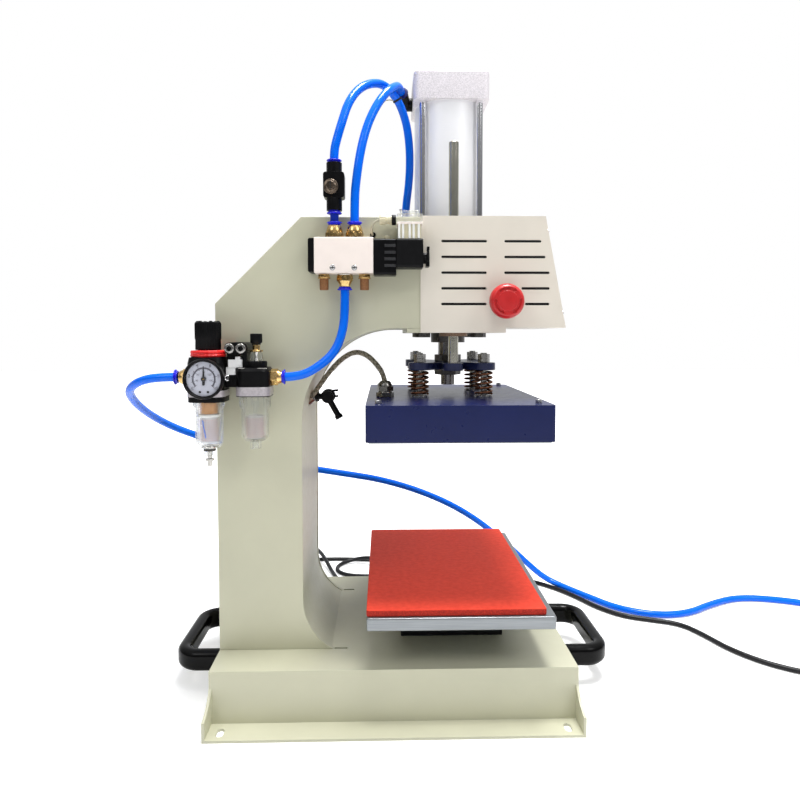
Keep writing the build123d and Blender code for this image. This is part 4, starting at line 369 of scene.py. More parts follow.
class Piece:
    """One mesh put together from turned, straight and swept shapes, in millimetres."""

    def __init__(self, name, at=Matrix.Identity(4)):
        self.name = name
        self.at = at
        self.mesh = bmesh.new()
        self.materials = []

    def index(self, material):
        if material not in self.materials:
            self.materials.append(material)
        return self.materials.index(material)

    def place(self, verts, faces, material, base=(0, 0, 0), way=(0, 0, 1)):
        matrix = self.at @ Matrix.Translation(Vector(base)) @ turn_to(way)
        for vert in verts:
            vert.co = matrix @ vert.co * MM
        for face in faces:
            face.material_index = self.index(material)
            face.smooth = True

    def skin(self, material, rings, *where, ends=False, closed=False):
        """Faces between rings of points, any of which may be a single point, and over the ends."""
        rings = [[self.mesh.verts.new(point) for point in ring] for ring in rings]
        faces = [self.mesh.faces.new(ring) for ring in (rings[0][::-1], rings[-1]) if ends]
        for low, high in zip(rings, rings[1:] + rings[:closed]):
            count = max(len(low), len(high))
            for i in range(count):
                j = (i + 1) % count
                corners = [low[i % len(low)], low[j % len(low)], high[j % len(high)], high[i % len(high)]]
                corners = list(dict.fromkeys(corners))
                if len(corners) > 2:
                    faces.append(self.mesh.faces.new(corners))
        self.place([v for ring in rings for v in ring], faces, material, *where)

    def lathe(self, material, profile, base, way=(0, 0, 1), steps=48, ribs=0, rib=0, closed=False):
        """A turned shape from pairs of radius and height, with ribs that swing its radius."""
        rings = []
        for radius, height in profile:
            ring = []
            for i in range(steps if radius > 0 else 1):
                angle = 2 * pi * i / steps
                out = radius + (rib * cos(ribs * angle) if ribs else 0)
                ring.append((out * cos(angle), out * sin(angle), height))
            rings.append(ring)
        self.skin(material, rings, base, way, closed=closed)

    def prism(self, material, outline, height, base, way=(0, 0, 1), taper=1):
        """A flat outline of points in its own plane, carried along way."""
        rings = [[(x, y, 0) for x, y in outline], [(x * taper, y * taper, height) for x, y in outline]]
        self.skin(material, rings, base, way, ends=True)

    def hexagon(self, material, across, height, base, way=(0, 0, 1), turn=0):
        radius = across / sqrt(3)
        angles = [turn + i * pi / 3 for i in range(6)]
        self.prism(material, [(radius * cos(a), radius * sin(a)) for a in angles], height, base, way)

    def box(self, material, low, high):
        outline = [(low[0], low[1]), (high[0], low[1]), (high[0], high[1]), (low[0], high[1])]
        self.prism(material, outline, high[2] - low[2], (0, 0, low[2]))

    def tube(self, material, points, radius, sides=10):
        """A tube through points in millimetres, with flat ends."""
        turns = [2 * pi * k / sides for k in range(sides)]
        rings = [[point + radius * (cos(a) * side + sin(a) * up) for a in turns]
                 for point, side, up in frames_along([Vector(p) for p in points])]
        self.skin(material, rings, ends=True)

    def words(self, material, text, height, base, way):
        """Upright figures, centred on base."""
        curve = bpy.data.curves.new("figures", "FONT")
        curve.body = text
        curve.size = height
        curve.offset = 0.02 * height
        curve.align_x = "CENTER"
        curve.align_y = "CENTER"
        flat = mesh_of(put("figures", curve))
        verts, faces = len(self.mesh.verts), len(self.mesh.faces)
        self.mesh.from_mesh(flat)
        self.place(list(self.mesh.verts)[verts:], list(self.mesh.faces)[faces:], material, base, way)
        bpy.data.meshes.remove(flat)

    def done(self, node=None, body="frame", slot=None, bevel=0.25, sharp=38):
        """The finished piece, riding on its body and standing for the node that it replaces."""
        bmesh.ops.recalc_face_normals(self.mesh, faces=self.mesh.faces)
        obj = soft_object(self.name, self.mesh, self.materials, bevel, sharp)
        return stand_for(obj, node, body, slot)


def stand_for(obj, node, body="frame", slot=None):
    """The object, riding on a body and standing for a node."""
    if body:
        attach(obj, body)
    if node:
        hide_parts(node)
    slot or slots[node]
    return obj


def soft_object(name, made, materials, bevel, sharp):
    """An object whose sharp corners are kept, with a small bevel on them."""
    mesh = bpy.data.meshes.new(name)
    made.to_mesh(mesh)
    made.free()
    for material in materials:
        mesh.materials.append(material)
    mesh.set_sharp_from_angle(angle=radians(sharp))
    obj = put(name, mesh)
    if bevel:
        edge = obj.modifiers.new("edge", "BEVEL")
        edge.width = bevel * MM
        edge.segments = 2
        edge.limit_method = "ANGLE"
        edge.angle_limit = radians(sharp)
        edge.harden_normals = True
        edge.use_clamp_overlap = True
    return obj


def dress(node, pick, bevel=0.5):
    """A copy of a CAD node's mesh with clean faces, softened edges and its own materials.

    pick is a material, or gives one for a loose part from its lowest and highest corner in millimetres,
    and None drops that part, because another piece stands for it.
    """
    made = bmesh.new()
    made.from_mesh(nodes[node].data)
    bmesh.ops.remove_doubles(made, verts=made.verts, dist=2e-6)
    materials = []
    unseen = set(made.faces)
    drop = []
    for first in made.faces:
        if first not in unseen:
            continue
        unseen.remove(first)
        part = [first]
        for face in part:
            near = {other: None for edge in face.edges for other in edge.link_faces if other in unseen}
            unseen.difference_update(near)
            part += near
        corners = [v.co for face in part for v in face.verts]
        low = Vector([min(c[i] for c in corners) for i in range(3)]) / MM
        high = Vector([max(c[i] for c in corners) for i in range(3)]) / MM
        material = pick(low, high) if callable(pick) else pick
        if material is None:
            drop += part
            continue
        if material not in materials:
            materials.append(material)
        for face in part:
            face.material_index = materials.index(material)
            face.smooth = True
    if drop:
        bmesh.ops.delete(made, geom=drop, context="FACES")
    bmesh.ops.dissolve_limit(made, angle_limit=radians(0.4), verts=made.verts, edges=made.edges,
        delimit={"MATERIAL"})
    obj = soft_object(node + "_skin", made, materials, bevel, 32)
    return stand_for(obj, node, nodes[node]["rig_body"])


# Curves

def spline(name, route, radius):
    """A smooth round line whose control points are the route's."""
    curve = bpy.data.curves.new(name, "CURVE")
    curve.dimensions = "3D"
    curve.bevel_depth = radius * MM
    curve.bevel_resolution = 8
    curve.resolution_u = 10
    curve.use_fill_caps = True
    line = curve.splines.new("NURBS")
    line.points.add(len(route) - 1)
    for point, place in zip(line.points, route):
        point.co = (*(Vector(place) * MM), 1)
    line.order_u = 3
    line.use_endpoint_u = True
    return put(name, curve)


def line_of(route):
    """The points that a route's smooth line passes, in millimetres."""
    mesh = mesh_of(spline("line", route, 0))
    points = [v.co / MM for v in mesh.vertices]
    bpy.data.meshes.remove(mesh)
    return points


def hose(name, route, node, radius=HOSE_R, material=hose_blue):
    obj = spline(name, route, radius)
    obj.data.materials.append(material)
    return stand_for(obj, node)


def smooth(part):
    part = min(max(part, 0), 1)
    return part * part * (3 - 2 * part)


def coil_points(route, outer, turns, radius, end_z):
    """Loops that spiral in on the floor, climb a layer, spiral out and come down beside the first."""
    start = Vector(route[-1])
    heading = (start - Vector(route[-2])).normalized()
    step = 2 * radius + COIL_GAP
    rate = step / (2 * pi)
    inward = 2 * pi * turns
    full = 2 * inward + pi
    tail = pi / 2
    low = start.z

    def spiral(angle):
        if angle <= inward:
            return outer - rate * angle, low
        if angle >= full:
            part = (angle - full) / tail
            drop = (end_z - low - step) * smooth((part - 0.4) / 0.6)
            return outer + COIL_TAIL_OUT * step * smooth(part), low + step + drop
        if angle >= inward + pi:
            return outer - rate * (full - angle), low + step
        part = (angle - inward) / pi
        return outer - rate * inward - rate * pi * part * (1 - part), low + step * smooth(part)

    def local(angle):
        out, height = spiral(angle)
        return Vector((out * cos(angle - pi / 2), out * sin(angle - pi / 2), height))

    entry = local(1e-4) - local(0)
    turn = Matrix.Rotation(atan2(heading.y, heading.x) - atan2(entry.y, entry.x), 3, "Z")
    first = turn @ local(0)
    shift = Vector((start.x - first.x, start.y - first.y, 0)) + heading * 2 * radius
    count = round((full + tail) / (2 * pi / COIL_STEPS))
    points = [turn @ local((full + tail) * i / count) + shift for i in range(count + 1)]
    way = (points[-1] - points[-2]).normalized()
    return points + [points[-1] + way * 2 * radius]


def length_of(route):
    points = line_of(route)
    return sum((b - a).length for a, b in zip(points, points[1:]))


# Sheet-metal frame

FRAME_BEVEL = 0.7
# the black nose of the lower cap comes out under the head, below this height
NOSE_TOP = 450
for name in ("base_shell", "side_plate_near", "side_plate_far", "inner_web", "outer_skin", "head_plate"):
    dress(name, paint_frame, FRAME_BEVEL)
dress("head_cover", paint_cover, 0.5)
dress("platen_stand", paint_black, 0.6)
dress("base_handles", rubber_black, 2.2)
dress("lower_platen", aluminium, 2.2)
dress("heater_cover", paint_blue, 0.5)
dress("heater_platen", aluminium, 0.4)
dress("spider_bracket", bracket_blue, 0.6)
for name, material in (("cylinder_barrel", tube_white), ("tie_rods", chrome), ("guide_rods", guide_steel),
    ("guide_bushes", bush_bronze), ("heater_element", wool), ("stop_body", black), ("stop_stem", black)):
    dress(name, material, 0.2)
caps = dress("cylinder_caps", cast, 0.8)
caps.data.materials.append(dark_steel)
for polygon in caps.data.polygons:
    if polygon.center.z < NOSE_TOP * MM:
        polygon.material_index = 1


# the long piston rod gets the painted-shade chrome; the short end pieces get dark steel
def rod_finish(low, high):
    return shaded_rod_chrome if high.z - low.z > 100 else dark_steel


dress("piston_rod", rod_finish, 0.3)

# Hoses and cords

hose("air_hose_a", HOSE_A_ROUTE, "hose_a")
hose("air_hose_b", HOSE_B_ROUTE, "hose_b")
hose("air_hose_p", HOSE_P_ROUTE, "hose_p")
short_hose = Piece("air_hose_short")
short_hose.lathe(hose_deep, [(0, 0), (HOSE_R, 0), (HOSE_R, 27), (0, 27)], (-67.5, -105, 555))
short_hose.done(slot="hose_blue", bevel=0)

supply_line = SUPPLY_ROUTE + coil_points(SUPPLY_ROUTE, **HOSE_COIL)
supply = hose("supply_hose_line", supply_line, "supply_hose")
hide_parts("supply_hose_coil")
coupler = dress("hose_coupler", brass, 0.4)
Vector(SUPPLY_ROUTE[0]) * MM
length_of(supply_line) * MM

power_line = POWER_ROUTE + coil_points(POWER_ROUTE, **CORD_COIL)
power = hose("power_cord_line", power_line, "power_cord", CORD_R, cord_black)
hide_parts("power_cord_coil")
power_plug = dress("power_plug", black, 0.5)
Vector(POWER_ROUTE[0]) * MM
length_of(power_line) * MM
print("cord lengths", round(length_of(supply_line)), round(length_of(power_line)))

# Air valve and its fittings

AT_Y = -105
UNIT_Y = -119
PORT_Z = 388.5
UP = (0, 0, 1)
DOWN = (0, 0, -1)
FRONT = (0, -1, 0)
LEFT = (-1, 0, 0)
RIGHT = (1, 0, 0)
PORT_A = -67.5
PORT_B = -44.6
PORT_P = -56
SILENCERS = (-79.6, -33.6)

dress("valve_body", valve_cream, 0.7)
dress("valve_end_caps", black, 0.8)
dress("override_button", clip_cream, 0.4)
dress("valve_coil", lambda low, high: coil_black if high.z - low.z > 30 else None, 0.9)

trim = Piece("pilot_ribs")
for level in (535.4, 528, 520.6, 513.2):
    trim.box(rib_black, (-10.8, -119.4, level - 1.5), (1.9, -118.3, level + 1.5))
for x in (-69, -44.6):
    trim.lathe(steel, [(0, 0), (2.4, 0), (2.4, 0.5), (2, 0.8), (0, 0.8)], (x, -119, 510.6), FRONT,
        steps=24)
    # the cross slots are painted shade, a dark box laid on each screw head
    trim.box(shade_and_tie_black, (x - 1.6, -119.95, 510.3), (x + 1.6, -119.7, 510.9))
    trim.box(shade_and_tie_black, (x - 0.3, -119.95, 509), (x + 0.3, -119.7, 512.2))
trim.done(slot="black_plastic", bevel=0.3)

plug = Piece("coil_plug")
plug.box(clip_cream, (5, -117.2, 543.5), (30.1, -94.3, 561.4))
for x in (4.4, 8.8, 16.2, 20.6, 26.4):
    plug.box(white_plastic, (x, -118.2, 543.6), (x + 2.6, -117, 560.2))
plug.box(valve_cream, (3.4, -118.3, 559.6), (31.7, -93.4, 562))
plug.lathe(clip_cream, [(0, 0), (4.6, 0), (4.9, 1.2), (4.9, 3), (4.2, 3.4), (4.2, 6.4), (5.1, 7),
    (5.3, 12.8), (4.6, 14), (0, 14)], (-2.6, AT_Y, 566), LEFT, ribs=12, rib=0.22)
plug.lathe(black, [(0, 0), (5.5, 0), (5.8, 0.6), (5.8, 4.4), (5.5, 5), (0, 5)], (2.4, AT_Y, 566), LEFT)
plug.tube(lead_grey, line_of([(-16, -105, 566), (-20.5, -105, 565.6), (-24.6, -104, 560),
    (-25.4, -99, 552.5), (-24.2, -92.5, 551)]), 1.2)
plug.lathe(black, [(0, 0), (5.6, 0), (6, 1), (6, 4.6), (9.6, 5), (10, 5.8), (10, 7), (9.4, 7.4),
    (0, 7.4)], (32.7, AT_Y, 522.7), RIGHT, ribs=10, rib=0.3)
plug.box(black, (37.2, -113.4, 531.2), (40.1, -106.4, 535.2))
plug.box(black, (36.4, -114.6, 512.9), (40.1, -96.4, 518.4))
plug.lathe(steel, [(0, 0), (1.7, 0), (1.7, 1.1), (1.4, 1.4), (0, 1.4)], (7.6, -113.6, 575.2), UP)
plug.done(slot=slots["valve_coil"], bevel=0.35)

lid = Piece("coil_plug_lid")
lid.box(clear, (3, -119.3, 562.1), (32.1, -93.4, 571.4))
lid.box(clear, (6.4, -116.4, 571.4), (29, -96.4, 575.4))
lid.done(slot=slots["valve_coil"], bevel=1.6)

fittings = Piece("brass_nuts")
for x in (PORT_A, PORT_B):
    fittings.hexagon(brass, 18.6, 6.2, (x, AT_Y, 545), UP, turn=0.35)
    fittings.lathe(brass, [(9.3, 0), (9.4, 0.8), (9.1, 3.2), (8.3, 6), (7.2, 8.4), (6.5, 9.2), (6.5, 9.8),
        (5.2, 9.8)], (x, AT_Y, 550.8))
fittings.lathe(nickel, [(5, 0), (8.5, 0), (8.8, 0.4), (8.8, 1.3), (8.4, 1.7), (5, 1.7)],
    (PORT_P, AT_Y, 503.2))
fittings.hexagon(brass, 16.2, 6.4, (PORT_P, AT_Y, 496.8), UP, turn=0.2)
fittings.lathe(brass, [(8.3, 0), (8.2, 0.8), (6.4, 4.6), (5.8, 6.6), (5.3, 6.8)], (PORT_P, AT_Y, 497),
    DOWN)
for x in SILENCERS:
    fittings.hexagon(brass, 12.4, 3.6, (x, AT_Y, 500.6), UP, turn=0.5)
    fittings.lathe(brass, [(4, 0), (6.9, 0.2), (7.3, 0.9), (7.2, 1.6), (5.6, 2.4), (4, 2.6)],
        (x, AT_Y, 499.2))
    fittings.lathe(bronze, [(0, 0), (4.6, 0), (5.1, 0.6), (5.15, 12.6), (4, 12.8)], (x, AT_Y, 486.6),
        steps=28)
for x, way in ((-228, LEFT), (-138, RIGHT)):
    fittings.hexagon(brass, 16.6, 7.4, (x, UNIT_Y, PORT_Z), way, turn=0.3)
    fittings.lathe(brass, [(8.2, 6.6), (8.2, 8), (7.4, 10.4), (6.6, 11.6), (6.6, 12), (5.2, 12)],
        (x, UNIT_Y, PORT_Z), way)
fittings.done("brass_fittings", bevel=0.3)

COLLAR = [(5.05, 0), (6.9, 0), (7, 1.6), (8.3, 2), (8.6, 2.5), (8.4, 3.2), (7.4, 3.6), (5.05, 3.6)]
collars = Piece("release_collars")
for base, way in (((PORT_A, AT_Y, 560), UP), ((PORT_B, AT_Y, 560), UP), ((PORT_A, AT_Y, 576), DOWN),
    ((PORT_A, AT_Y, 629.5), UP), ((PORT_P, AT_Y, 490), DOWN), ((-242, UNIT_Y, PORT_Z), LEFT),
    ((-126, UNIT_Y, PORT_Z), RIGHT), ((15.2, 0, 490), UP)):
    collars.lathe(collar_blue, COLLAR, base, way)
elbow_mouth = Vector((11.24, -20.9, 736.7))
elbow_way = (Vector((8, -38, 741.3)) - elbow_mouth).normalized()
collars.lathe(collar_dark, COLLAR, elbow_mouth + elbow_way * 0.6, elbow_way)
collars.done("push_in_collars", bevel=0.15)

dress("flow_control", black, 0.9)
knob = Piece("flow_screw")
knob.lathe(dark_bronze, [(0, 0), (7.6, 0), (8.3, 0.6), (8.4, 3.2), (7.7, 4), (5.6, 4.4), (4.9, 5),
    (4.9, 9.2), (4.3, 9.9), (0, 9.9)], (-70.6, -114.3, 601), FRONT)
knob.lathe(nickel, [(4.95, 5.6), (5.05, 6), (5.05, 7.4), (4.95, 7.8)], (-70.6, -114.3, 601), FRONT)
# the screw's slot is painted shade, a dark box on its face
knob.box(shade_and_tie_black, (-71.2, -124.35, 597), (-70, -124.15, 605))
knob.lathe(steel, [(0, 0), (2.2, 0), (2.2, 5), (0, 5)], (-70.6, -109.2, 601), FRONT)
knob.done("flow_knob", "flow_knob", bevel=0.2)

strap = Piece("hose_strap")
strap.lathe(shade_and_tie_black, [(5.2, -1.2), (5.9, -1.2), (5.9, 1.2), (5.2, 1.2)], (5.6, -33.2, 725.6),
    (0.5, 0.3, -0.8), closed=True)
strap.tube(lead_grey, [(0.6, -38.4, 723), (-4.2, -41.8, 722.6), (-9.6, -43.4, 721.2),
    (-11.2, -43.8, 718.6)], 0.7, 8)
strap.done(slot="black_plastic", bevel=0)

# Air preparation: regulator with its gauge and filter, and the lubricator

REG_X = -208
LUB_X = -156.5
SIGHT_X = -154.5
REG = (REG_X, UNIT_Y, 0)
LUB = (LUB_X, UNIT_Y, 0)
SIGHT = (SIGHT_X, UNIT_Y, 0)


def around(axis, count, radius):
    """Places in a circle round an upright axis."""
    for i in range(count):
        angle = 2 * pi * i / count
        yield Vector(axis) + Vector((cos(angle), sin(angle), 0)) * radius


def round_square(half, corner, steps=6):
    """The outline of a square with rounded corners."""
    outline = []
    for quarter in range(4):
        for step in range(steps + 1):
            angle = radians(90 * (quarter + step / steps))
            x = half - corner if quarter in (0, 3) else corner - half
            y = half - corner if quarter in (0, 1) else corner - half
            outline.append((x + corner * cos(angle), y + corner * sin(angle)))
    return outline


ring = Piece("regulator_case")
ring.prism(black, round_square(19.9, 9.5), 43.4, (REG_X, UNIT_Y, 361.3))
ring.prism(black, round_square(19.9, 9.5), 6.2, (REG_X, UNIT_Y, 404.7), taper=0.93)
ring.lathe(red_ring, [(14.2, 0.2), (18.2, 0.2), (18.9, 0.9), (19.1, 2.4), (18.3, 3.4), (18.9, 4.4),
    (18.8, 6.6), (18.2, 7.4), (14.2, 7.5)], (REG_X, UNIT_Y, 411), steps=96, ribs=24, rib=0.3)
# a thin dark disc of painted shade in the gap between the case and the red ring
ring.lathe(shade_and_tie_black, [(13.8, 0), (18.4, 0), (18.4, 0.3), (13.8, 0.3)], (REG_X, UNIT_Y, 410.9))
ring.done("regulator_body", bevel=0.3)

knob = Piece("regulator_grip")
knob.lathe(black, [(12.2, 0), (13.4, 0.3), (13.7, 1.4), (13.5, 11), (13.9, 12.4), (14.1, 13.2),
    (14.2, 28.6), (13.7, 30.6), (12.4, 31.4), (10.6, 31.5), (10.2, 30.6), (4, 30.6), (0, 30.6)],
    (REG_X, UNIT_Y, 418.9), steps=240, ribs=48, rib=0.26)
for place in around((REG_X, UNIT_Y, 450.2), 6, 11.4):
    knob.lathe(black, [(0, 0), (1.9, 0), (1.6, 1), (0, 1.1)], place, steps=16)
knob.lathe(black, [(0, 0), (8.6, 0), (8.6, 6.4), (0, 6.4)], (REG_X, UNIT_Y, 413))
knob.done("regulator_knob", "regulator_knob", bevel=0)

GAUGE = (-204.4, -139, 388.4)
DIAL_OUT = 13
gauge = Piece("gauge_can")
gauge.lathe(black, [(0, 0), (6, 0), (6, 3), (19.6, 3.2), (20.6, 4.4), (20.7, 12.4), (21.6, 13.2),
    (21.8, 14.4), (21.8, 16.6), (21.2, 17.7), (20.2, 18), (19.2, 17.4), (18.6, 16.2), (18.6, DIAL_OUT),
    (0, DIAL_OUT)], GAUGE, FRONT, steps=72)
gauge.lathe(dial_grey, [(0, 0), (18.5, 0), (18.5, 0.3), (0, 0.3)],
    Vector(GAUGE) + DIAL_OUT * Vector(FRONT), FRONT, steps=72)


def dial_point(radius, degrees, lift):
    """A place on the gauge's dial, in degrees clockwise from the top."""
    angle = radians(degrees)
    return Vector(GAUGE) + Vector((radius * sin(angle), -DIAL_OUT - lift, radius * cos(angle)))


def dial_arc(piece, material, radius, start, end, thick):
    steps = max(int(abs(end - start) / 6), 2)
    piece.tube(material, [dial_point(radius, start + (end - start) * i / steps,
        0.3) for i in range(steps + 1)], thick, 6)


dial_arc(gauge, dial_band, 11.9, -132, 132, 0.62)
dial_arc(gauge, dial_band, 11, -132, 132, 0.2)
for index in range(51):
    degrees = -130 + index * 5.2
    long = index % 5 == 0
    gauge.tube(ink, [dial_point(12.3, degrees, 0.32), dial_point(13.9 if long else 13.1, degrees, 0.32)],
        0.26 if long else 0.12, 5)
    if index % 5 == 0:
        gauge.tube(ink, [dial_point(9.7, degrees, 0.32), dial_point(10.7, degrees, 0.32)], 0.2, 5)
for side in (-1, 1):
    gauge.lathe(ink, [(0, 0), (1.3, 0), (1.3, 0.5), (0, 0.5)], dial_point(14.6, 180 + side * 17, 0.2),
        FRONT, steps=16)
for turn, words in ((-130, "0"), (-78, "2"), (-26, "4"), (26, "6"), (78, "8"), (130, "10")):
    gauge.words(ink, words, 4.6, dial_point(15.9, turn, 0.3), FRONT)
for turn, words in ((-104, "30"), (-52, "60"), (0, "90"), (52, "120"), (104, "150")):
    gauge.words(ink, words, 3, dial_point(7.7, turn, 0.3), FRONT)
gauge.done("gauge_case", bevel=0.2)
glass = Piece("gauge_glass")
glass.lathe(lens, [(0, 0), (18.9, 0), (18.9, 1.2), (0, 1.2)], (GAUGE[0], -155.4, GAUGE[2]), FRONT,
    steps=72)
glass.done(slot=slots["gauge_case"], bevel=0)

needle = Piece("gauge_pointer")
centre = Vector((GAUGE[0], -153.4, GAUGE[2]))
needle.prism(ink, [(-1.3, 0), (-0.4, 13.4), (0.4, 13.4), (1.3, 0), (1.4, -6), (0.8, -6.8), (-0.8, -6.8),
    (-1.4, -6)], 0.5, centre, FRONT)
needle.lathe(ink, [(0, -1.3), (2.6, -1.3), (2.6, 0.9), (2.2, 1.2), (0, 1.2)], centre, FRONT)
needle.lathe(brass, [(0, 1.2), (0.8, 1.2), (0.7, 1.5), (0, 1.55)], centre, FRONT, steps=20)
needle.done("gauge_needle", "gauge_needle", bevel=0)


def clear_bowl(piece, axis, low):
    """A clear bowl with its neck at low millimetres, and the ribs of its collar."""
    outer = [(6.4, low), (6.4, low + 7.6), (10.8, low + 9), (13.6, low + 11.6), (15.2, low + 16),
        (15.5, 353.4), (17, 355), (17.2, 356.4), (17.2, 367.3)]
    inner = [(14.8, 367.3), (14.8, 356.4), (13.9, 353.4), (13.6, low + 16.6), (12.2, low + 13.2),
        (9.6, low + 11.4), (3.2, low + 10.8), (3.2, low)]
    piece.lathe(clear, outer + inner, axis, steps=64, closed=True)
    for place in around(axis, 16, 17):
        piece.tube(clear, [place + Vector((0, 0, 356.4)), place + Vector((0, 0, 366.8))], 0.6, 8)


def grid_cup(piece, x, low, high, radius):
    """The inner cup with its fine printed rings, seen through the bowl."""
    piece.lathe(cup_white, [(radius, low), (radius, high), (radius - 0.8, high), (radius - 0.8, low)],
        (x, UNIT_Y, 0), closed=True)
    level = low + 2.4
    while level < high - 1:
        piece.lathe(rose, [(radius + 0.02, level), (radius + 0.18, level), (radius + 0.18, level + 0.4),
            (radius + 0.02, level + 0.4)], (x, UNIT_Y, 0), closed=True)
        level += 2.5
    for place in around((x, UNIT_Y, 0), 18, radius + 0.05):
        piece.tube(rose, [place + Vector((0, 0, low + 2)), place + Vector((0, 0, high - 2))], 0.13, 5)


bowl = Piece("filter_cup")
clear_bowl(bowl, REG, 300)
bowl.lathe(nickel, [(3.2, 309.2), (8.6, 309.2), (8.9, 310.2), (8.2, 311.6), (3.2, 312)],
    (REG_X, UNIT_Y, 0.2))
bowl.lathe(dark_steel, [(3, 0), (6.9, 0), (7.1, 0.8), (6.6, 1.6), (6.6, 2.2), (3, 2.2)],
    (REG_X, UNIT_Y, 305.6))
bowl.done("filter_bowl", bevel=0)

inside = Piece("filter_core")
inside.lathe(filter_bronze, [(0, 347.6), (9.2, 347.6), (9.6, 348.1), (9.7, 360.6), (9.2, 361.1),
    (0, 361.1)], REG)
inside.lathe(white_plastic, [(0, 344.2), (12.4, 344.2), (12.8, 344.8), (12.4, 346.8), (10.4, 347.5),
    (0, 347.5)], REG)
grid_cup(inside, REG_X, 315.5, 343.8, 9.8)
inside.tube(hose_blue, [(-213, -128.6, 341), (-211.6, -129.2, 333), (-209.8, -129.5, 324),
    (-209.2, -129.6, 321)], 0.5, 8)
inside.done("filter_element", bevel=0)

dress("drain_valve", nickel, 0.4)

band = Piece("unit_bands")
for x, half, low, high in ((REG_X, 19.9, 367.4, 374.4), (LUB_X, 18.4, 368.4, 378.2)):
    band.prism(black, round_square(half + 0.45, 9.9), high - low + 2, (x, UNIT_Y, low - 1))
    band.prism(band_silver, round_square(half + 0.65, 10.1), high - low, (x, UNIT_Y, low))
band.done(slot=slots["lubricator_body"], bevel=0.15)

dress("lubricator_body", lambda low, high: clear if low.z < 330 else brass if low.z > 410 else None, 0.4)
case = Piece("lubricator_case")
case.prism(black, round_square(18.4, 9), 28.2, (LUB_X, UNIT_Y, 367.4))
case.prism(black, round_square(18.4, 9), 3.8, (LUB_X, UNIT_Y, 395.6), taper=0.9)
case.lathe(black, [(0, 0), (11.6, 0), (11.7, 1), (11.7, 6.2), (11.2, 7.2), (0, 7.2)],
    (SIGHT_X, UNIT_Y, 399.3), steps=72, ribs=24, rib=0.2)
case.tube(nickel, [(x, -137.6, 399.2) for x in (-171, -164)], 0.3, 6)
case.tube(nickel, [(x, -137.6, 399.2) for x in (-150, -140)], 0.3, 6)
case.done(slot=slots["lubricator_body"], bevel=0.4)
bowl = Piece("lubricator_cup")
clear_bowl(bowl, LUB, 308)
bowl.lathe(clear, [(0, 308.4), (3.1, 308.4), (3.1, 317.6), (0, 317.6)], LUB)
bowl.lathe(clear, [(7.3, 406.6), (7.4, 409), (6.6, 415.4), (6, 416.8), (5.2, 416.8), (5.8, 415),
    (6.4, 409), (6.3, 406.6)], SIGHT, closed=True)
bowl.lathe(nickel, [(0, 406.6), (2.6, 406.6), (2.2, 409), (1.4, 411), (1.9, 413), (2.4, 416.6),
    (0, 416.6)], SIGHT)
grid_cup(bowl, LUB_X, 319.5, 345, 9.8)
bowl.lathe(black, [(0, 318), (4.4, 318), (4.4, 318.9), (0, 318.9)], LUB)
bowl.done("lubricator_bowl", bevel=0)

knob = Piece("drip_screw")
knob.lathe(black, [(0, 0), (4.6, 0), (4.8, 1.4), (6.1, 2), (6.6, 3), (6.6, 11.6), (6.2, 12.4), (0, 12.5)],
    (SIGHT_X, UNIT_Y, 424.7), steps=96, ribs=24, rib=0.14)
knob.lathe(brass, [(0, -4.9), (1.8, -4.9), (1.8, 0), (0, 0)], (SIGHT_X, UNIT_Y, 424.7))
knob.done("lubricator_knob", "lubricator_knob", bevel=0.2)

SOCKETS = (-181.25, -168.75)
SOCKET_Z = 420.75
mount = Piece("unit_bracket")
outline = []
for x, first in ((SOCKETS[1], -90), (SOCKETS[0], 90)):
    for step in range(9):
        angle = radians(first + step * 22.5)
        outline.append((x + 6.7 * cos(angle), 6.7 * sin(angle)))
mount.prism(black, outline, 39.4, (0, -91.6, SOCKET_Z), FRONT)
mount.box(black, (-185.5, -127, 399.2), (-176.5, -100, 416))
mount.box(black, (-168.4, -127, 398.6), (-163.6, -100, 416))
mount.box(spacer_white, (-183.8, -129.4, 399.6), (-168.6, -110, 408.4))
mount.box(spacer_white, (-176, -129, 408), (-170.8, -110, 411.6))
mount.box(spacer_white, (-186.6, -128, 391.4), (-176.2, -109, 400))
mount.box(black, (-187.8, -126.5, 377.6), (-174.4, -109, 394))
hook = [(-184.4 + 2.5 * cos(a), -133.5,
    388.4 + 2.5 * sin(a)) for a in (radians(40 + 25 * i) for i in range(12))]
mount.tube(chrome, hook, 1.05, 10)
mount.tube(chrome, [(-184.4, -126.5, 388.4), (-184.4, -133.8, 388.4)], 1.6, 12)
for x in SOCKETS:
    mount.lathe(nut_steel, [(2.9, 4.4), (2.9, 5), (4.6, 5), (5.3, 4.6), (5.6, 3.8), (5.6, 0)],
        (x, -131, SOCKET_Z), FRONT)
    mount.lathe(nut_steel, [(5.5, 0), (6.1, -0.2), (6.1, -0.9), (4, -0.9)], (x, -131, SOCKET_Z), FRONT)
    # the hex socket is painted shade, a flat dark hexagon on the screw head
    mount.hexagon(shade_and_tie_black, 5.2, 0.4, (x, -132.6, SOCKET_Z), FRONT)
    mount.lathe(dark_steel, [(2.95, 5), (2.9, 1.6), (0, 1.6)], (x, -131, SOCKET_Z), FRONT, steps=6)
mount.done("frl_bracket", bevel=0.5)


def screw_finish(low, high):
    if low.x > 20 and high.x < 120:
        return dark_steel
    return None if low.z > 414 and high.z < 427 and low.x < -160 else chrome


dress("frame_screws", screw_finish, 0.3)


def wall_finish(low, high):
    if low.x < -110:
        return dark_bronze if high.y < 0 else black
    return rubber_black


dress("wall_fittings", wall_finish, 0.4)
dress("tap_lever", black, 0.5)

# Stop button

STOP = Vector((128, -105.7, 473.8))
STOP_STEPS = 216
STOP_ARCS = ((49, 132), (170, 255), (293, 372))


ARROW_RADIUS = 14.2
ARROW_HEAD = 15
ARROW_CUT = 1.5


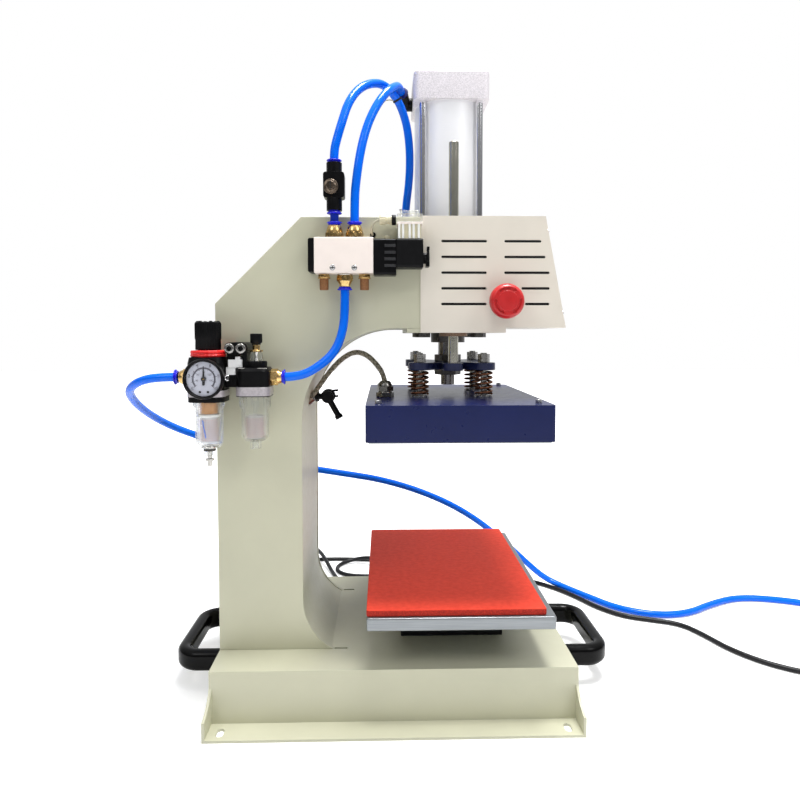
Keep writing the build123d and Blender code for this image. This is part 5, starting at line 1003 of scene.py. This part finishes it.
def arrow_depth(radius, degrees):
    """How deep the three arrows are cut into the button's face."""
    for start, end in STOP_ARCS:
        turn = (degrees - start) % 360
        width = end - start
        if turn > width:
            continue
        half = 0.5 + 1.9 * turn / ARROW_HEAD if turn < ARROW_HEAD else 0.95
        edge = smooth((half - abs(radius - ARROW_RADIUS)) / 0.5 + 0.5)
        return ARROW_CUT * edge * smooth((width - turn) / 3)
    return 0


def stop_head():
    """The mushroom head, with its arrows cut into the face as real relief."""
    head = Piece("stop_head")
    rim = [(11, 1.4), (14.6, 1.6), (14.8, 3), (18.4, 3.8), (19.6, 5.4), (20, 7.6), (19.8, 10.4),
        (18.9, 13.4), (17.6, 15.4), (16.4, 16.3)]
    face = [(16 - 0.25 * i, 16.5) for i in range(18)] + [(11.5, 16.55), (11.2, 17), (8, 17),
        (4, 17), (0, 17)]
    rings = []
    for radius, out in rim + face:
        ring = []
        for i in range(STOP_STEPS if radius > 0 else 1):
            angle = 2 * pi * i / STOP_STEPS
            # the arrows' angles are seen from the front, where x runs to the right
            depth = arrow_depth(radius, math.degrees(angle)) if out > 16.4 else 0
            ring.append((radius * cos(angle), depth - out, radius * sin(angle)))
        rings.append(ring)
    head.skin(red_plastic, rings, STOP)
    head.lathe(red_plastic, [(6.2, 0), (13.8, 0), (14.4, 0.5), (14.4, 2)], STOP, FRONT)
    head.done("stop_button", "stop_button", bevel=0, sharp=50)


stop_head()

# Heater: springs, nuts, gland and sleeved cable

SPRING_X = (32.5, 111.5)
SPRING_Y = (-52, 52)
SPRING_LOW, SPRING_HIGH = 362.95, 390.8
SPRING_TURNS = 5.7
SPRING_FLAT = 0.06
SPRING_R = 10
SPRING_WIRE_R = 1.45
SPRING_STEPS = 150


def fastener_finish(low, high):
    return steel if high.z < 375 else nut_steel


dress("heater_fasteners", fastener_finish, 0.3)


def springs():
    """Four coil springs with closed, flattened ends."""
    made = Piece("coil_springs")
    for x in SPRING_X:
        for y in SPRING_Y:
            points = []
            for i in range(SPRING_STEPS + 1):
                part = i / SPRING_STEPS
                angle = 2 * pi * SPRING_TURNS * part
                rise = min(max((part - SPRING_FLAT) / (1 - 2 * SPRING_FLAT), 0), 1)
                points.append((x + SPRING_R * cos(angle), y + SPRING_R * sin(angle),
                    SPRING_LOW + (SPRING_HIGH - SPRING_LOW) * rise))
            made.tube(copper, points, SPRING_WIRE_R, 12)
    obj = made.done("springs", None, bevel=0)
    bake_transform(obj)


springs()

gland = Piece("cable_gland_brass")
GLAND = (-10.2, -47, 0)
gland.lathe(gland_nickel, [(3.1, 354.6), (6.6, 354.6), (6.6, 359.2), (3.1, 359.2)], GLAND, closed=True)
gland.hexagon(gland_nickel, 19.6, 5.6, (GLAND[0], GLAND[1], 359.05), UP, turn=0.2)
gland.lathe(nickel, [(9, 364.6), (9.2, 365.2), (7.9, 365.8), (7.9, 366.8)], GLAND)
gland.hexagon(gland_nickel, 18.4, 6, (GLAND[0], GLAND[1], 366.4), UP, turn=0.75)
gland.lathe(gland_nickel, [(9, 372.2), (8.8, 373.4), (7.2, 377.2), (5.4, 378.9), (3.4, 379)], GLAND)
gland.done("cable_gland", "heater", bevel=0.3)


SLEEVE_R = 2.75
STRANDS = 7
STRAND_R = 0.42
STRAND_PITCH = 15
STRAND_STEP = 0.9


def sleeved_cable():
    """The heater's cable in a braided sleeve of strands that cross."""
    route = line_of(CABLE_ROUTE)
    lengths = [0]
    for before, after in zip(route, route[1:]):
        lengths.append(lengths[-1] + (after - before).length)
    made = Piece("sleeved_cable")
    made.tube(braid, route, SLEEVE_R, 14)
    frames = list(frames_along(route))
    for hand in (-1, 1):
        for strand in range(STRANDS):
            points = []
            for count in range(int(lengths[-1] / STRAND_STEP)):
                far = count * STRAND_STEP
                i = min(max(k for k, length in enumerate(lengths) if length <= far), len(route) - 2)
                part = (far - lengths[i]) / (lengths[i + 1] - lengths[i])
                middle, side, up = (a.lerp(b, part) for a, b in zip(frames[i], frames[i + 1]))
                angle = 2 * pi * (hand * far / STRAND_PITCH + strand / STRANDS)
                out = SLEEVE_R + 0.07 + 0.12 * sin(far * 1.4 + strand * 2 + hand)
                points.append(middle + (side * cos(angle) + up * sin(angle)) * out)
            made.tube(braid_light if (strand + hand) % 3 else braid, points, STRAND_R, 5)
    obj = made.done("heater_cable", None, bevel=0, sharp=80)
    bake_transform(obj)


sleeved_cable()

# Silicone mat

pad = dress("silicone_mat", red_foam, 1.2)

# Controller in the slanted front

PANEL_TILT = 10.8
lean = radians(PANEL_TILT)
panel_at = Matrix(((0, -sin(lean), cos(lean), 195), (1, 0, 0, 0), (0, cos(lean), sin(lean), 507.3),
    (0, 0, 0, 1)))
dress("control_panel", lambda low, high: key_grey if high.z - low.z < 20 else black, 0.6)
face = Piece("panel_display", panel_at)
face.box(display, (-38, -14, -0.9), (38, 30, -0.2))
SEGMENTS = {"a": (0, 2, 1, 2), "b": (1, 1, 1, 2), "c": (1, 0, 1, 1), "d": (0, 0, 1, 0), "e": (0, 0, 0, 1),
    "f": (0, 1, 0, 2), "g": (0, 1, 1, 1)}
SHAPES = {"0": "abcdef", "1": "bc", "5": "acdfg", "8": "abcdefg"}


def digit(piece, sign, x, y, wide, half):
    for key in SHAPES[sign]:
        x0, y0, x1, y1 = SEGMENTS[key]
        start, end = (x + x0 * wide, y + y0 * half, 0), (x + x1 * wide, y + y1 * half, 0)
        piece.tube(digit_red, [Vector(start).lerp(Vector(end), 0.1),
            Vector(start).lerp(Vector(end), 0.9)], wide * 0.09, 6)


for place, sign in enumerate("180"):
    digit(face, sign, -26 + place * 13, 12, 8, 6.6)
for place, sign in enumerate("15"):
    digit(face, sign, 16 + place * 9, -10, 5.6, 4.6)
face.done(slot=slots["control_panel"], bevel=0.2)

# Dark boards behind the vents, painted shade: they stand in for the shadowed inside, where the photograph
# shows black slots

SHADE_BOARD_Y = (-91, -90.4)
SHADE_STRIP_Y = (-91.9, -91.45)
SHADE_BOARDS = ((4, 168, 497, 566), (4, 107.4, 452.5, 497), (149, 168, 457, 497))
# where the right-hand vents end, past the opening of the side plate
SHADE_STRIP_START = 166
SHADE_STRIP_ENDS = (172.1, 177.1, 182.1, 182.3, 182.1)
VENT_TOP_Z = 544.3
VENT_PITCH = 18.2
SHADE_STRIP_HALF = 1.6
vent_shade = Piece("vent_shade_boards")
for x0, x1, z0, z1 in SHADE_BOARDS:
    vent_shade.box(shade_and_tie_black, (x0, SHADE_BOARD_Y[0], z0), (x1, SHADE_BOARD_Y[1], z1))
for row, end in enumerate(SHADE_STRIP_ENDS):
    level = VENT_TOP_Z - row * VENT_PITCH
    vent_shade.box(shade_and_tie_black, (SHADE_STRIP_START, SHADE_STRIP_Y[0], level - SHADE_STRIP_HALF),
        (end, SHADE_STRIP_Y[1], level + SHADE_STRIP_HALF))
vent_shade.done(slot="black_plastic", bevel=0)

# Stage, light and camera

FLOOR_SIZE = 14
FLOOR_GLOW = 0.35
FLOOR_FAR = 1.1
GLOW_SPAN = (0.5, 2.2)
SKY_LOW = 0.10
SKY_HIGH = 0.8
SKY_GRADIENTS = (("Z", 0.15, 0.8), ("Y", 0, 0.7))
# name, place, aim, size in metres, and watts
LAMPS = (
    ("top", (0.25, -0.1, 2.2), (0, 0, 0.2), (0.8, 0.7), 62),
    ("left", (-1.3, -1.6, 2), (0, 0, 0.4), (0.9, 0.9), 9),
    ("right", (1.5, -1.4, 1.9), (0, 0, 0.4), (0.9, 0.9), 11),
)

def floor():
    bpy.ops.mesh.primitive_plane_add(size=FLOOR_SIZE, location=(0, 0, 0))
    plane = bpy.context.object
    plane.name = "studio_floor"
    made = Finish("studio_floor", (0.86, 0.86, 0.86), 0.7)
    away = made.add("VectorMath", {0: made.place}, operation="LENGTH")["Value"]
    glow = made.add("Emission", {"Strength": made.span(away, *GLOW_SPAN, FLOOR_GLOW, FLOOR_FAR)})
    plain = made.shader.outputs["BSDF"]
    both = made.add("AddShader", {0: plain, 1: glow["Emission"]})["Shader"]
    camera_ray = made.add("LightPath")["Is Camera Ray"]
    seen = made.add("MixShader", {0: camera_ray, 1: plain, 2: both})["Shader"]
    made.feed(made.nodes["Material Output"], {"Surface": seen})
    plane.data.materials.append(made.material)


def sky():
    """A studio, brighter overhead and behind than in front. The camera and clear plastic see it white."""
    world = bpy.data.worlds.new("studio")
    bpy.context.scene.world = world
    tree = Tree(world)

    def larger(first, second):
        return tree.add("Math", {0: first, 1: second}, operation="MAXIMUM")["Value"]

    way = tree.add("SeparateXYZ", {"Vector": tree.add("TexCoord")["Generated"]})
    height, back = (tree.span(way[axis], low, high) for axis, low, high in SKY_GRADIENTS)
    light = tree.span(larger(height, back), 0, 1, SKY_LOW, SKY_HIGH)
    ambient = tree.feed(tree.nodes["Background"], {"Color": (0.97, 0.98, 1), "Strength": light})
    white = tree.add("Background", {"Color": (1, 1, 1)})
    path = tree.add("LightPath")
    direct = larger(path["Is Camera Ray"], path["Is Transmission Ray"])
    seen = tree.add("MixShader", {0: direct, 1: ambient["Background"], 2: white["Background"]})
    tree.feed(tree.nodes["World Output"], {"Surface": seen["Shader"]})


def camera():
    data = bpy.data.cameras.new("camera")
    data.lens = CAMERA_LENS
    data.sensor_width = CAMERA_SENSOR
    data.shift_x, data.shift_y = CAMERA_SHIFT
    obj = put("camera", data)
    obj.location = Vector(CAMERA_AT) * MM
    obj.rotation_euler = [radians(v) for v in (90 + CAMERA_PITCH, CAMERA_ROLL, CAMERA_YAW)]
    bpy.context.scene.camera = obj


floor()
sky()
for name, place, aim, size, watts in LAMPS:
    light = bpy.data.lights.new(name, "AREA")
    light.shape = "RECTANGLE"
    light.size, light.size_y = size
    light.energy = watts
    lamp = put(name, light)
    lamp.location = place
    lamp.rotation_euler = (Vector(aim) - Vector(place)).to_track_quat("-Z", "Y").to_euler()
camera()
bpy.context.scene.view_settings.view_transform = "Standard"
